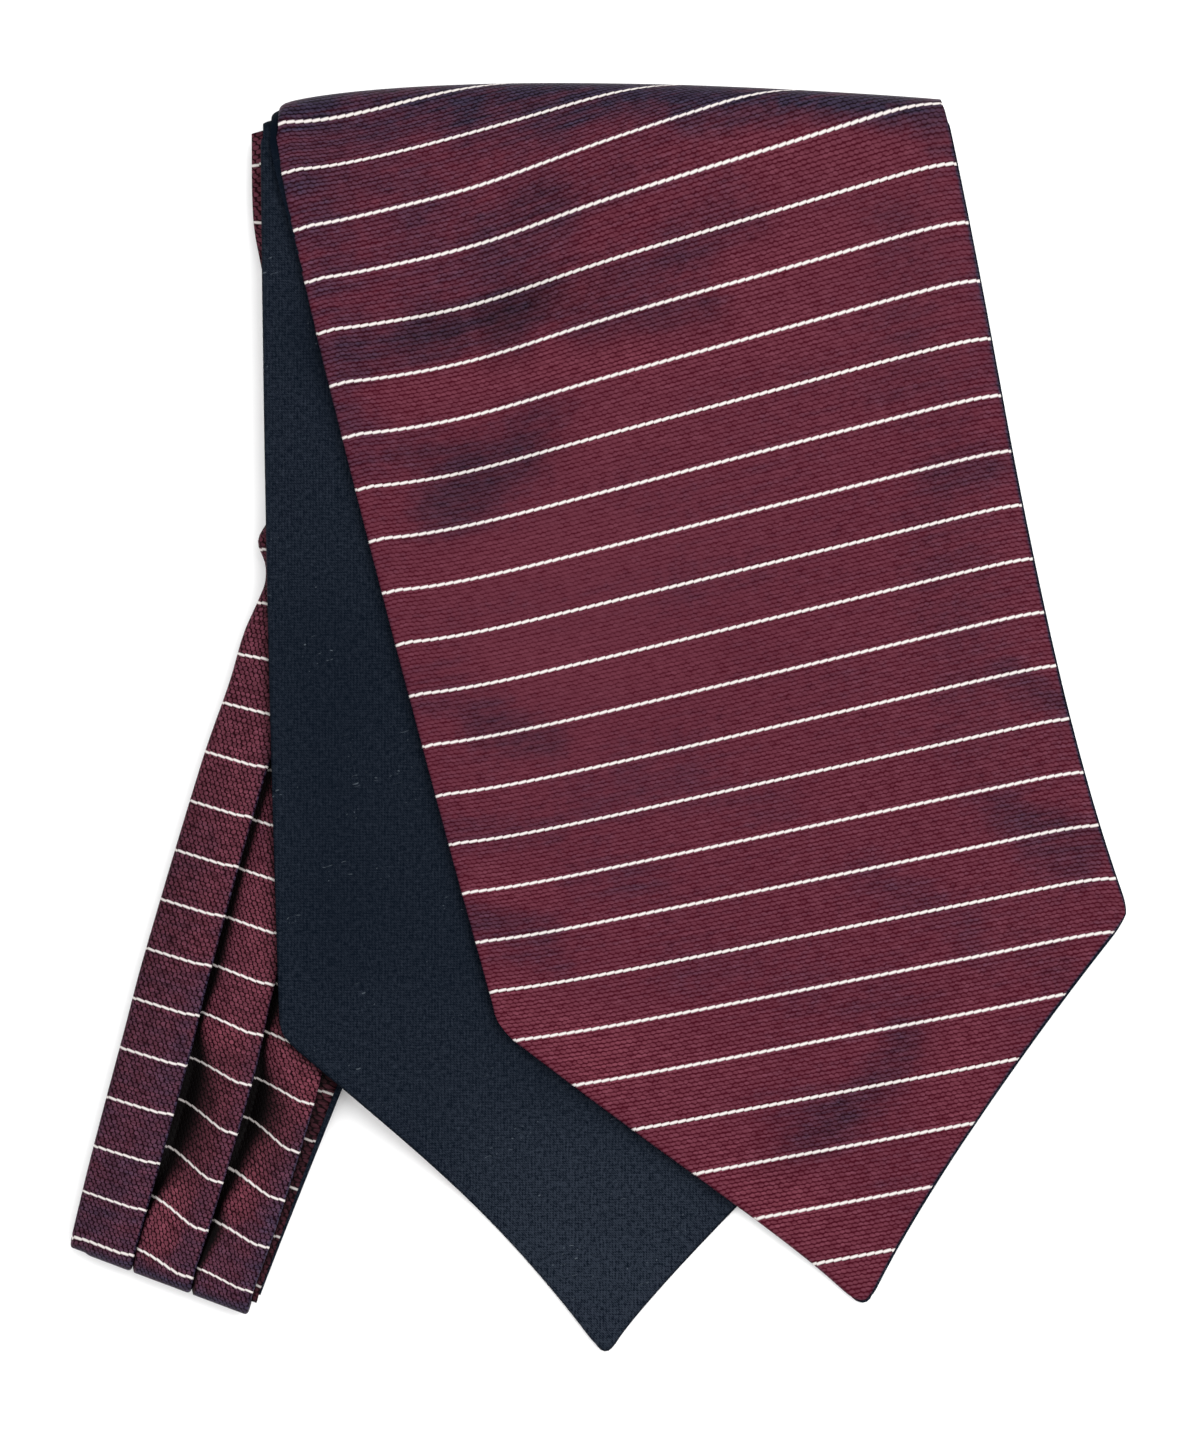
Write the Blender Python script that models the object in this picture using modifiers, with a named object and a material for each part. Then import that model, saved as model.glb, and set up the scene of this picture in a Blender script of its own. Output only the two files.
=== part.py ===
"""A silk cravat, folded and laid flat.

The cravat is one long strip: a wide pointed blade at each end of a pleated neckband. It is folded in half
at the middle of the neckband, and both blades are folded forward over the top. From the top down lie the
front blade with its silk up, the back blade with its lining up, the upper run of the neckband in three
knife pleats, and the lower run, which the rest hides.

Sizes are named in millimetres and become metres where points are placed. +Z is up, the cravat rests on
z = 0, +Y runs up its length, and the origin is the middle of its footprint.
"""

import math
from typing import NamedTuple

import bmesh
import bpy
import numpy as np
from mathutils import Vector

MM = 0.001

# Cloth
WALL = 1.0                # one layer of silk or lining
GAP = 0.3                 # air between two layers
LAYER = WALL + GAP
BLADE_GAP = 0.8           # air between the two blades
PLEAT_LAYERS = 3          # layers of silk in a knife pleat

# Heights in the stack, up from the table
NECK_AXIS = WALL / 2 + PLEAT_LAYERS * LAYER    # the neckband folds round this line, where its lining lies
NECK_TOP = 2 * NECK_AXIS
BACK_LIFT = NECK_TOP + GAP                     # underside of the back blade on the neckband
FRONT_LIFT = WALL + LAYER + BLADE_GAP          # how far the front blade's underside is above the back blade's

# How the blades come down to the table beside what they lie on
NECK_REACH = 6.0
NECK_FALL = 45.0
BLADE_REACH = 9.0
BLADE_FALL = 26.0

# Grids
BLADE_COLUMNS = 18
FRONT_ROWS = 22
BACK_ROWS = 20
TURN_ROWS = 6
NECK_ROWS = 18
LINING_COLUMNS = 4
HIDDEN_COLUMNS = 3
EDGE_STEPS = 3            # round a pressed fold of one layer over the next
TIP_CROWDING = 1.25       # above 1 draws the blade's columns in towards its point

# Neckband
HEM = 4.0                 # silk turned under along the band's left edge
HEM_RISE = 3.0            # how far in from that edge the silk above the hem starts to rise,
HEM_RISE_LEVEL = 1.6      # and its level there
UNDERLAP = 9.0            # how far each pleat's cloth starts under the pleat before it
FRONT_RETURN = 8.0        # the front blade's cloth under the top fold
NECK_RETURN = 8.0         # the neckband's silk under its lower fold
RISE_SHARES = (0.0, 0.35, 0.65, 1.0)    # points of a face that rises over the fold beside it
FAN_WAVE = 0.55           # half the height, in layers, of the waves that the fanned pleats leave
SLIVER = 1.2              # least width of the silk that shows beyond the last pleat
LINING_SHOW = 1.5         # neckband lining beyond the silk's right edge
HIDDEN_INSET = 1.2        # the hidden layers stay this far inside the neckband
HIDDEN_TOP_INSET = 9.0    # and this far below its upper end


class Bow(NamedTuple):
    """How far an edge bows to the right of the way it runs; a lean above 1 moves the bow towards its end."""
    height: float
    lean: float


class Blade(NamedTuple):
    """Corners of a blade in plan, and the bows of its edges, which run down it and from left to right."""
    fold_left: tuple
    fold_right: tuple
    shoulder_left: tuple
    shoulder_right: tuple
    tip: tuple
    fold: Bow
    left: Bow
    right: Bow
    point_left: Bow
    point_right: Bow
    tip_round: float          # share of each side of the point that the rounded tip takes


FRONT = Blade(
    fold_left=(-79.9, 153.5), fold_right=(85.9, 154.7),
    shoulder_left=(-24.4, -77.9), shoulder_right=(132.3, -47.2), tip=(66.8, -148.6),
    fold=Bow(-4.7, 0.75), left=Bow(4.4, 0.6), right=Bow(4.0, 1.8),
    point_left=Bow(-1.5, 3.0), point_right=Bow(-3.2, 0.6), tip_round=0.045)

FRONT_LINING = FRONT._replace(
    fold_left=(-81.8, 152.9), fold_right=(86.4, 154.5), shoulder_right=(132.7, -47.4), tip=(67.2, -148.8))

BACK = Blade(
    fold_left=(-84.2, 149.4), fold_right=(76.6, 151.4),
    shoulder_left=(-79.2, -79.0), shoulder_right=(82.4, -75.4), tip=(2.2, -161.2),
    fold=Bow(-4.4, 1.0), left=Bow(2.0, 1.4), right=Bow(0.8, 1.0),
    point_left=Bow(-3.6, 1.3), point_right=Bow(-2.9, 0.55), tip_round=0.045)


class Section(NamedTuple):
    """Ends of one section across the neckband in plan, at a distance up the run from the lower fold."""
    along: float
    left_x: float
    left_y: float
    right_x: float
    right_y: float
    pleats: float             # width of the three pressed pleats
    opening: float            # 0 where the pleats are pressed shut, 1 where they have fanned out


SECTIONS = (
    Section(0.0, -131.4, -127.2, -86.3, -144.4, 47.4, 0.0),
    Section(17.4, -127.2, -109.8, -78.9, -124.5, 49.0, 0.0),
    Section(50.7, -118.8, -77.6, -66.2, -93.7, 49.6, 0.0),
    Section(68.7, -114.0, -60.2, -59.3, -76.9, 50.0, 0.0),
    Section(120.5, -99.1, -10.6, -40.0, -28.0, 50.5, 0.05),
    Section(141.5, -92.6, 9.4, -28.0, -5.0, 50.5, 0.15),
    Section(163.4, -85.3, 30.0, -10.0, 22.0, 50.5, 0.35),
    Section(195.5, -83.4, 62.0, 34.0, 56.0, 50.5, 0.65),
    Section(237.5, -83.2, 104.0, 66.0, 101.0, 50.5, 0.92),
    Section(258.0, -86.4, 124.0, 71.0, 124.0, 50.5, 1.0),
    Section(279.6, -86.9, 144.9, 75.0, 146.4, 50.5, 1.0),
)

PLEAT_FACES = (17.8, 16.4, 15.0)


class Fold(NamedTuple):
    """A soft ridge across the front blade, from one point of its crest to the other."""
    from_x: float
    from_y: float
    to_x: float
    to_y: float
    half_width: float
    height: float


FRONT_FOLDS = (
    Fold(22.0, 140.0, -66.0, 92.0, 17.0, 1.5),
    Fold(30.0, 104.0, -52.0, 70.0, 15.0, 1.3),
    Fold(40.0, 20.0, 96.0, -12.0, 20.0, 1.0),
    Fold(104.0, -62.0, 52.0, -96.0, 16.0, 1.2),
)


def ease(share):
    """0 below 0, 1 above 1, and a smooth rise between."""
    held = min(max(share, 0.0), 1.0)
    return held * held * (3.0 - 2.0 * held)


def bowed(start, end, bow, share):
    """The point a share of the way from start to end, on a line that bows to its right."""
    run_x = end[0] - start[0]
    run_y = end[1] - start[1]
    leaning = share ** bow.lean
    push = 4.0 * bow.height * leaning * (1.0 - leaning) / math.hypot(run_x, run_y)
    return (start[0] + run_x * share + run_y * push, start[1] + run_y * share - run_x * push)


def mixed(first, second, share):
    """The point a share of the way between two points."""
    return (first[0] + (second[0] - first[0]) * share, first[1] + (second[1] - first[1]) * share)


# ---------------------------------------------------------------- blades in plan

def point_edge(blade, across):
    """The blade's pointed end, from its left shoulder (0) round the tip (0.5) to its right one (1)."""
    if abs(across - 0.5) < blade.tip_round / 2.0:
        before = bowed(blade.shoulder_left, blade.tip, blade.point_left, 1.0 - blade.tip_round)
        after = bowed(blade.tip, blade.shoulder_right, blade.point_right, blade.tip_round)
        share = (across - 0.5) / blade.tip_round + 0.5
        return mixed(mixed(before, blade.tip, share), mixed(blade.tip, after, share), share)
    if across < 0.5:
        return bowed(blade.shoulder_left, blade.tip, blade.point_left, across * 2.0)
    return bowed(blade.tip, blade.shoulder_right, blade.point_right, across * 2.0 - 1.0)


def blade_plan(blade, across, down):
    """A point of the blade in plan: across it from 0 to 1, and down it from the fold (0) to the point (1)."""
    top = bowed(blade.fold_left, blade.fold_right, blade.fold, across)
    bottom = point_edge(blade, across)
    left = bowed(blade.fold_left, blade.shoulder_left, blade.left, down)
    right = bowed(blade.fold_right, blade.shoulder_right, blade.right, down)
    upper = mixed(blade.fold_left, blade.fold_right, across)
    lower = mixed(blade.shoulder_left, blade.shoulder_right, across)
    ends = mixed(top, bottom, down)
    sides = mixed(left, right, across)
    corners = mixed(upper, lower, down)
    return (ends[0] + sides[0] - corners[0], ends[1] + sides[1] - corners[1])


def blade_outline(blade, steps=12):
    """The blade's outline in plan, as points all the way round."""
    shares = [step / steps for step in range(steps)]
    outline = [blade_plan(blade, 0.0, share) for share in shares]
    outline += [blade_plan(blade, step / (2 * steps), 1.0) for step in range(2 * steps)]
    outline += [blade_plan(blade, 1.0, 1.0 - share) for share in shares]
    outline += [blade_plan(blade, 1.0 - share, 0.0) for share in shares]
    return np.array(outline)


# ---------------------------------------------------------------- neckband in plan

def section_at(along):
    """The neckband's section at a distance up the run, on a smooth curve through the table's rows."""
    rows = SECTIONS
    index = 0
    while index < len(rows) - 2 and along > rows[index + 1].along:
        index += 1
    before = np.array(rows[max(index - 1, 0)])
    start = np.array(rows[index])
    end = np.array(rows[index + 1])
    after = np.array(rows[min(index + 2, len(rows) - 1)])
    span = end[0] - start[0]
    share = (along - start[0]) / span
    leave = (end - before) / (end[0] - before[0]) * span
    arrive = (after - start) / (after[0] - start[0]) * span
    square = share * share
    cube = square * share
    point = (2 * cube - 3 * square + 1) * start + (cube - 2 * square + share) * leave
    point = point + (3 * square - 2 * cube) * end + (cube - square) * arrive
    return Section(*point)


def section_width(section):
    """How wide the neckband is at a section."""
    return math.hypot(section.right_x - section.left_x, section.right_y - section.left_y)


def neck_plan(section, distance):
    """The point of a section that is a distance in from the neckband's left edge."""
    return mixed((section.left_x, section.left_y), (section.right_x, section.right_y),
                 distance / section_width(section))


def neck_outline(steps=24):
    """The neckband's outline in plan, as points all the way round."""
    stations = [SECTIONS[-1].along * step / steps for step in range(steps + 1)]
    left = [section_at(along)[1:3] for along in stations]
    right = [section_at(along)[3:5] for along in stations]
    return np.array(left + right[::-1])


# ---------------------------------------------------------------- how the layers lie on each other

def distance_outside(outline, x, y):
    """How far a point is outside an outline in plan, or 0 inside it."""
    start = outline
    edge = np.roll(outline, -1, axis=0) - start
    reach_x = x - start[:, 0]
    reach_y = y - start[:, 1]
    share = np.clip((reach_x * edge[:, 0] + reach_y * edge[:, 1]) / (edge ** 2).sum(axis=1), 0.0, 1.0)
    nearest = np.hypot(reach_x - share * edge[:, 0], reach_y - share * edge[:, 1]).min()
    next_y = start[:, 1] + edge[:, 1]
    spans = (start[:, 1] > y) != (next_y > y)
    with np.errstate(divide="ignore", invalid="ignore"):
        crossing = start[:, 0] + (y - start[:, 1]) / edge[:, 1] * edge[:, 0]
    crossed = np.count_nonzero(spans & (x < crossing))
    return 0.0 if crossed % 2 else float(nearest)


NECK_OUTLINE = neck_outline()
BACK_OUTLINE = blade_outline(BACK)


def cover(outline, x, y, reach, fall):
    """1 over an outline and as far as reach outside it, then easing to 0 over the fall."""
    return ease(1.0 - (distance_outside(outline, x, y) - reach) / fall)


def back_base(x, y):
    """Height of the back blade's underside."""
    return BACK_LIFT * cover(NECK_OUTLINE, x, y, NECK_REACH, NECK_FALL)


def front_base(x, y):
    """Height of the front blade's underside, with the soft folds that stand up from what it lies on."""
    height = back_base(x, y) + FRONT_LIFT * cover(BACK_OUTLINE, x, y, BLADE_REACH, BLADE_FALL)
    for fold in FRONT_FOLDS:
        run_x = fold.to_x - fold.from_x
        run_y = fold.to_y - fold.from_y
        length = math.hypot(run_x, run_y)
        along = ((x - fold.from_x) * run_x + (y - fold.from_y) * run_y) / length
        beside = ((x - fold.from_x) * run_y - (y - fold.from_y) * run_x) / length
        past_end = max(-along, along - length, 0.0)
        height += fold.height * ease(1.0 - math.hypot(beside, past_end) / fold.half_width)
    return height


# ---------------------------------------------------------------- objects

def new_collection(name):
    """A collection in the scene."""
    collection = bpy.data.collections.new(name)
    bpy.context.scene.collection.children.link(collection)
    return collection


def cloth_material(name, colour, roughness):
    """A plain cloth: colour, roughness, and no metal."""
    material = bpy.data.materials.new(name)
    material.use_nodes = True
    shader = material.node_tree.nodes["Principled BSDF"]
    shader.inputs["Base Color"].default_value = (*colour, 1.0)
    shader.inputs["Roughness"].default_value = roughness
    shader.inputs["Metallic"].default_value = 0.0
    return material


def sheet(name, columns, rows, place, wall, collection, material):
    """A wall of cloth: a grid whose points a function places, from shares across and along, with Solidify."""
    work = bmesh.new()
    bmesh.ops.create_grid(work, x_segments=columns, y_segments=rows, size=0.5)
    for vert in work.verts:
        vert.co = Vector(place(vert.co.x + 0.5, vert.co.y + 0.5)) * MM
    mesh = bpy.data.meshes.new(name)
    work.to_mesh(mesh)
    work.free()
    mesh.shade_smooth()
    mesh.materials.append(material)
    piece = bpy.data.objects.new(name, mesh)
    collection.objects.link(piece)
    solidify = piece.modifiers.new("wall", "SOLIDIFY")
    solidify.thickness = wall * MM
    solidify.offset = 0.0
    solidify.use_even_offset = True
    return piece


def blade_sheet(name, blade, base, under, depth, rows, returned, collection, material):
    """One layer of a blade, with its turn over the top fold: depth 0 is the outer layer, 1 the inner.

    base is the height of the blade's underside, under the height of the outer layer below the fold, and
    returned the length of cloth that lies there.
    """
    return_rows = 1 if returned else 0
    all_rows = return_rows + TURN_ROWS + rows

    def place(across, along):
        spread = across * 2.0 - 1.0
        column = 0.5 + 0.5 * math.copysign(abs(spread) ** TIP_CROWDING, spread)
        fold_point = blade_plan(blade, column, 0.0)
        length = math.dist(fold_point, blade_plan(blade, column, 1.0))
        outer_top = base(*blade_plan(blade, column, BACK_LIFT / length)) + LAYER + WALL / 2
        outer_turn = (outer_top - under) / 2
        crest = outer_turn + WALL / 2
        turn = outer_turn - depth * LAYER
        row = round(along * all_rows)
        if row < return_rows:
            x, y = blade_plan(blade, column, (crest + returned) / length)
            return (x, y, under + depth * LAYER)
        if row <= return_rows + TURN_ROWS:
            angle = math.pi * ((row - return_rows) / TURN_ROWS - 0.5)
            x, y = blade_plan(blade, column, (crest - turn * math.cos(angle)) / length)
            return (x, y, under + outer_turn + turn * math.sin(angle))
        start = crest / length
        down = start + (1.0 - start) * (row - return_rows - TURN_ROWS) / rows
        x, y = blade_plan(blade, column, down)
        return (x, y, base(x, y) + WALL / 2 + (1 - depth) * LAYER)

    return sheet(name, BLADE_COLUMNS, all_rows, place, WALL, collection, material)


def turned_edge(edge, side, first, second):
    """Points round a fold of the silk at an edge, from one level to the next: side is 1 right, -1 left."""
    turn = LAYER / 2
    centre = edge - side * (turn + WALL / 2)
    middle = (first + second) / 2
    half = (first - second) / 2
    angles = [math.pi * (0.5 - step / EDGE_STEPS) for step in range(EDGE_STEPS + 1)]
    return [(centre + side * turn * math.cos(angle), middle + half * math.sin(angle)) for angle in angles]


def rising_face(start, end, low, high):
    """Points of a pleat's face as it rises from beside one fold to lie over the next."""
    return [(start + (end - start) * share, low + (high - low) * ease(share)) for share in RISE_SHARES]


def pleat_section():
    """The silk's section across the pressed neckband: (distance from the left edge, level) of each point."""
    top = PLEAT_LAYERS - 1.0
    points = [(HEM, 0.0)]
    points += turned_edge(0.0, -1, 0.0, 1.0)
    fold = PLEAT_FACES[0]
    points += [(HEM_RISE, HEM_RISE_LEVEL), (fold - UNDERLAP - WALL, top)]
    for face in PLEAT_FACES[1:]:
        points += turned_edge(fold, 1, top, top - 1.0)
        points += turned_edge(fold - UNDERLAP, -1, 1.0, 0.0)
        next_fold = fold + face
        points += rising_face(fold - WALL / 2, next_fold - UNDERLAP - GAP, 0.0, top)
        fold = next_fold
    points += turned_edge(fold, 1, top, top - 1.0)
    points += turned_edge(fold - UNDERLAP, -1, 1.0, 0.0)
    points += [(fold - WALL / 2, 0.0), (fold + SLIVER / 2, 0.0), (fold + SLIVER, 0.0)]
    return points


def neck_silk(name, collection, material):
    """The neckband's silk: knife pleats, turned under at the lower fold, that fan out towards the top."""
    section_points = pleat_section()
    last = len(section_points) - 1
    faces = sum(PLEAT_FACES)
    steps = [0.0]
    for (x0, level0), (x1, level1) in zip(section_points, section_points[1:]):
        steps.append(steps[-1] + math.hypot(x1 - x0, (level1 - level0) * LAYER))
    all_rows = 1 + TURN_ROWS + NECK_ROWS
    top = SECTIONS[-1].along
    start = SECTIONS[0]
    way = Vector((start.left_x - SECTIONS[1].left_x, start.left_y - SECTIONS[1].left_y)).normalized()

    def place(across, along):
        index = round(across * last)
        row = round(along * all_rows)
        if row == 0:
            section = section_at(NECK_RETURN)
        else:
            section = section_at(max(row - 1 - TURN_ROWS, 0) * top / NECK_ROWS)
        width = section_width(section)
        distance, level = section_points[index]
        distance *= section.pleats / faces
        if index == last:
            distance = max(width, section.pleats + SLIVER)
        spread = steps[index] / steps[-1]
        distance += (spread * width - distance) * ease(section.opening)
        wave = FAN_WAVE * (1.0 - math.cos(2.0 * math.pi * len(PLEAT_FACES) * spread))
        level += (wave - level) * ease(2.0 * section.opening - 1.0)
        x, y = neck_plan(section, distance)
        radius = (1.0 + level) * LAYER
        if row == 0:
            return (x, y, NECK_AXIS - radius)
        if row > TURN_ROWS:
            return (x, y, NECK_AXIS + radius)
        angle = math.pi * ((row - 1) / TURN_ROWS - 0.5)
        out = radius * math.cos(angle)
        return (x + way.x * out, y + way.y * out, NECK_AXIS + radius * math.sin(angle))

    return sheet(name, last, all_rows, place, WALL, collection, material)


def neck_lining(name, collection, material):
    """The neckband's lining, flat between its two runs and wider than the silk on the right."""
    top = SECTIONS[-1].along

    def place(across, along):
        section = section_at(along * top)
        right = section_width(section) + LINING_SHOW * (1.0 - ease(2.0 * section.opening))
        x, y = neck_plan(section, HIDDEN_INSET + (right - HIDDEN_INSET) * across)
        return (x, y, NECK_AXIS)

    return sheet(name, LINING_COLUMNS, NECK_ROWS, place, WALL, collection, material)


def hidden_layers(name, collection, material):
    """The lower run and the front blade's root: one rounded body whose edges show its layers."""
    height = PLEAT_LAYERS * LAYER - GAP
    layered = []
    for level in range(PLEAT_LAYERS):
        middle = level * LAYER + WALL / 2
        layered += [(WALL / 2, middle - WALL / 2), (0.0, middle), (WALL / 2, middle + WALL / 2)]
        if level < PLEAT_LAYERS - 1:
            layered.append((WALL, middle + LAYER / 2))
    loop = [("right", inset, z) for inset, z in layered]
    loop += [("share", 1.0 - step / HIDDEN_COLUMNS, height) for step in range(1, HIDDEN_COLUMNS)]
    loop += [("left", inset, z) for inset, z in reversed(layered)]
    loop += [("share", step / HIDDEN_COLUMNS, 0.0) for step in range(1, HIDDEN_COLUMNS)]
    start = NECK_RETURN + 2 * GAP
    end = SECTIONS[-1].along - HIDDEN_TOP_INSET

    work = bmesh.new()
    bmesh.ops.create_grid(work, x_segments=len(loop), y_segments=NECK_ROWS, size=0.5)
    for vert in work.verts:
        index = round((vert.co.x + 0.5) * len(loop)) % len(loop)
        section = section_at(start + (end - start) * (vert.co.y + 0.5))
        width = section_width(section)
        side, value, z = loop[index]
        if side == "right":
            distance = width - HIDDEN_INSET - value
        elif side == "left":
            distance = HIDDEN_INSET + value
        else:
            distance = HIDDEN_INSET + value * (width - 2 * HIDDEN_INSET)
        x, y = neck_plan(section, distance)
        vert.co = Vector((x, y, z)) * MM
    bmesh.ops.remove_doubles(work, verts=work.verts, dist=GAP * MM / 10)
    bmesh.ops.holes_fill(work, edges=[edge for edge in work.edges if edge.is_boundary])
    bmesh.ops.recalc_face_normals(work, faces=work.faces)
    mesh = bpy.data.meshes.new(name)
    work.to_mesh(mesh)
    work.free()
    mesh.materials.append(material)
    piece = bpy.data.objects.new(name, mesh)
    collection.objects.link(piece)
    return piece


def build():
    """The whole cravat, from the front blade down to the hidden layers."""
    for old in list(bpy.data.objects):
        bpy.data.objects.remove(old, do_unlink=True)
    cravat = new_collection("silk_cravat")
    silk = cloth_material("burgundy_silk", (0.115, 0.014, 0.027), 0.45)
    lining = cloth_material("navy_lining", (0.006, 0.011, 0.022), 0.75)
    low = WALL / 2
    blade_sheet("front_blade_silk", FRONT, front_base, low, 0, FRONT_ROWS, FRONT_RETURN, cravat, silk)
    blade_sheet("front_blade_lining", FRONT_LINING, front_base, low, 1, FRONT_ROWS, FRONT_RETURN,
                cravat, lining)
    blade_sheet("back_blade_lining", BACK, back_base, NECK_AXIS, 0, BACK_ROWS, 0.0, cravat, lining)
    blade_sheet("back_blade_silk", BACK, back_base, NECK_AXIS, 1, BACK_ROWS, 0.0, cravat, silk)
    neck_silk("neckband_silk", cravat, silk)
    neck_lining("neckband_lining", cravat, lining)
    hidden_layers("folded_layers", cravat, silk)


build()
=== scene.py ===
"""Cloth, materials and stage for a silk cravat that lies folded flat.

The cravat is one long strip, a wide pointed blade at each end of a pleated neckband. It is folded in half at
the middle of the neckband, and both blades are folded forward over the top. From the top down lie the front
blade with its silk up, the back blade with its lining up, the neckband's upper run in three knife pleats, and
its lower run.

Plan positions are complex numbers, x + y * 1j. They and the sizes of the layers are in millimetres; settings,
cuts and the stage are in metres. +Z is up, the cravat rests on z = 0, and +Y runs up its length. A layer's
grid has a row for each step down the cloth and a column for each step across it.
"""

import math
from typing import NamedTuple

import bmesh
import bpy
import numpy as np
from bpy.props import FloatProperty, FloatVectorProperty, PointerProperty
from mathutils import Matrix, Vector


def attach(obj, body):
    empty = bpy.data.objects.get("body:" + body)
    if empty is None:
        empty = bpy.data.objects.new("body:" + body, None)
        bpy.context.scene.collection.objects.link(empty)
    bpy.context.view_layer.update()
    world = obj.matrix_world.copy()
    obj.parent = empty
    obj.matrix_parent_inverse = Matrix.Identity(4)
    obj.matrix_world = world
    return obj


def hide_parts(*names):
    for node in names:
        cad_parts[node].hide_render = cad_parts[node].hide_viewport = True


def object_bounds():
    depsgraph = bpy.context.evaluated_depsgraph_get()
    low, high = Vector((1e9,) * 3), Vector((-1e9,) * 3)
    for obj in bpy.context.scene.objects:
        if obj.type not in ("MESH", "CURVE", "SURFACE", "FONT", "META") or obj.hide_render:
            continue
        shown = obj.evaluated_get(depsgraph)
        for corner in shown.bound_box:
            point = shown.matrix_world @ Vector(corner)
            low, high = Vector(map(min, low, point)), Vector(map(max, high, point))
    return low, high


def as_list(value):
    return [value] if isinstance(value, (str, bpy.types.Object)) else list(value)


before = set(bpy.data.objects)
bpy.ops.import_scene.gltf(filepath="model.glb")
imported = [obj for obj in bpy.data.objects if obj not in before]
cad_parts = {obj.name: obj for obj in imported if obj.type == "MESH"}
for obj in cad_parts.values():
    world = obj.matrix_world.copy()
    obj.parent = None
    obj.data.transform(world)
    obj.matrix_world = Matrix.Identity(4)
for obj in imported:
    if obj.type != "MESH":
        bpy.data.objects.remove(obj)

bl_info = {
    "name": "Folded silk cravat",
    "version": (1, 0, 0),
    "blender": (4, 5, 0),
    "location": "3D View > Sidebar > Cravat",
    "description": "Makes the silk, the linings and the stage of a cravat that lies folded flat",
    "category": "Object",
}

CAD_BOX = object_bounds()
MM = 0.001

# ---- sizes of the cloth and its folds

LAYER_WALL = 1.0  # room for one layer in the stack
LAYER_GAP = 0.3  # air between two layers
LAYER = LAYER_WALL + LAYER_GAP
BLADE_GAP = 0.8  # air between the two blades
PLEAT_LAYERS = 3  # layers of silk in a knife pleat
NECK_AXIS = LAYER_WALL / 2 + PLEAT_LAYERS * LAYER
BACK_LIFT = 2 * NECK_AXIS + LAYER_GAP
FRONT_LIFT = LAYER_WALL + LAYER + BLADE_GAP

NECK_REACH = 6.0  # how far beside the neckband the blades stay up,
NECK_FALL = 45.0  # and over what width they come down to the table
BLADE_REACH = 9.0  # the same for the front blade beside the back one
BLADE_FALL = 26.0

FRONT_RETURN = 8.0  # the front blade's cloth under the top fold
NECK_RETURN = 8.0  # the neckband's silk under its lower fold
TURN_REACH = 1.42  # how much further the pressed lower fold reaches out than a round one would
HEM = 4.0  # silk turned under along the neckband's left edge
BULGE = 3.0  # how far that edge bulges out beside the back blade,
BULGE_ALONG = 178.0  # how far up the run,
BULGE_REACH = 4.5  # and half its length
CORNER_LIFT = 3.5  # how far the top left corner is drawn up,
CORNER_LIFT_REACH = 25.0  # over what length,
CORNER_LIFT_WIDTH = 14.0  # and over what width
CORNER_DROP = 0.6  # what share of that the corner's rounding takes back,
CORNER_DROP_WIDTH = 0.8  # and over what width
HEM_RISE = 3.0  # how far in from that edge the silk above the hem starts to rise,
HEM_RISE_LEVEL = 1.6  # its level there,
HEM_RISE_WIDTH = 3.0  # and over what width it rises
HEM_REACH_LEVEL = 1.8  # the level whose reach the silk there has round the lower fold
UNDERLAP = 9.0  # how far each pleat's cloth starts under the pleat before it
FAN_WAVE = 0.55  # half the height, in layers, of the waves that the fanned pleats leave
SLIVER = 1.2  # silk that shows beyond the last pleat
LINING_SHOW = 1.5  # neckband lining beyond the silk's right edge,
LINING_SHOW_FOLD = 0.3  # the share of it that shows at the lower fold,
LINING_SHOW_GAIN = 0.8  # how much more further up,
LINING_SHOW_REACH = 60.0  # and how far up that takes
HIDDEN_INSET = 1.2  # the lining and the hidden layers stay this far inside the neckband,
HIDDEN_EDGE_INSET = 0.15  # the hidden layers' edges this much further,
HIDDEN_TOP_INSET = 9.0  # and their end this far below its upper end
HIDDEN_GROOVE = 0.9  # depth of the grooves between the layers
HIDDEN_ROUND = 7  # points round the edge of a layer
HIDDEN_WAVE = 0.12  # how far the edges wave,
HIDDEN_WAVE_LENGTH = 23.0
HIDDEN_WAVE_SHIFT = 4.0  # and how that shifts with each millimetre up the stack

OUTLINE_STEPS = 30  # points along one side of a blade's outline
EDGE_ROUND = 0.75  # radius of a blade's soft edge
EDGE_STEPS = (0.0, 0.06, 0.22, 0.45, 0.75, 1.6, 3.0)  # grid lines in from an edge
EDGE_CROWN = 0.22  # how much lower the cloth lies near an edge,
EDGE_CROWN_WIDTH = 2.4  # and over what width it rises
TIP_SLANT = 0.72  # rise of a grid line in from the point's edge, for each millimetre of its length

CORNER_REACH = 5.0  # length of the rounding of a blade's shoulder,
CORNER_ROUND = 0.7  # and how much it takes off the corner
TOP_REACH = 2.6  # the same at the left end of a blade's fold
TOP_ROUND = 0.65
TILT_START = 0.28  # slope, as a sine, from which the silk is painted navy, as sheen turned from the light,
TILT_SPAN = 0.62  # how much more makes it wholly so,
TILT_LEFT = 0.15  # and the share of that where it slopes down to the left
LEVEL_TILT = 0.001  # slopes below this count as level
WELD = 0.01  # points of a closed body that are closer than this are joined

BLADE_COLUMNS = 132
BLADE_ROWS = 208
TURN_ROWS = 14
RETURN_ROWS = 4
NECK_ROWS = 210
LINING_COLUMNS = 24
HIDDEN_COLUMNS = 24


def table(kind, *rows):
    """A table of one kind of rows."""
    return tuple(kind(*row) for row in rows)


class Bow(NamedTuple):
    """How far an edge bows to the right of the way it runs; a lean above 1 moves the bow towards its end."""
    height: float
    lean: float


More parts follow.
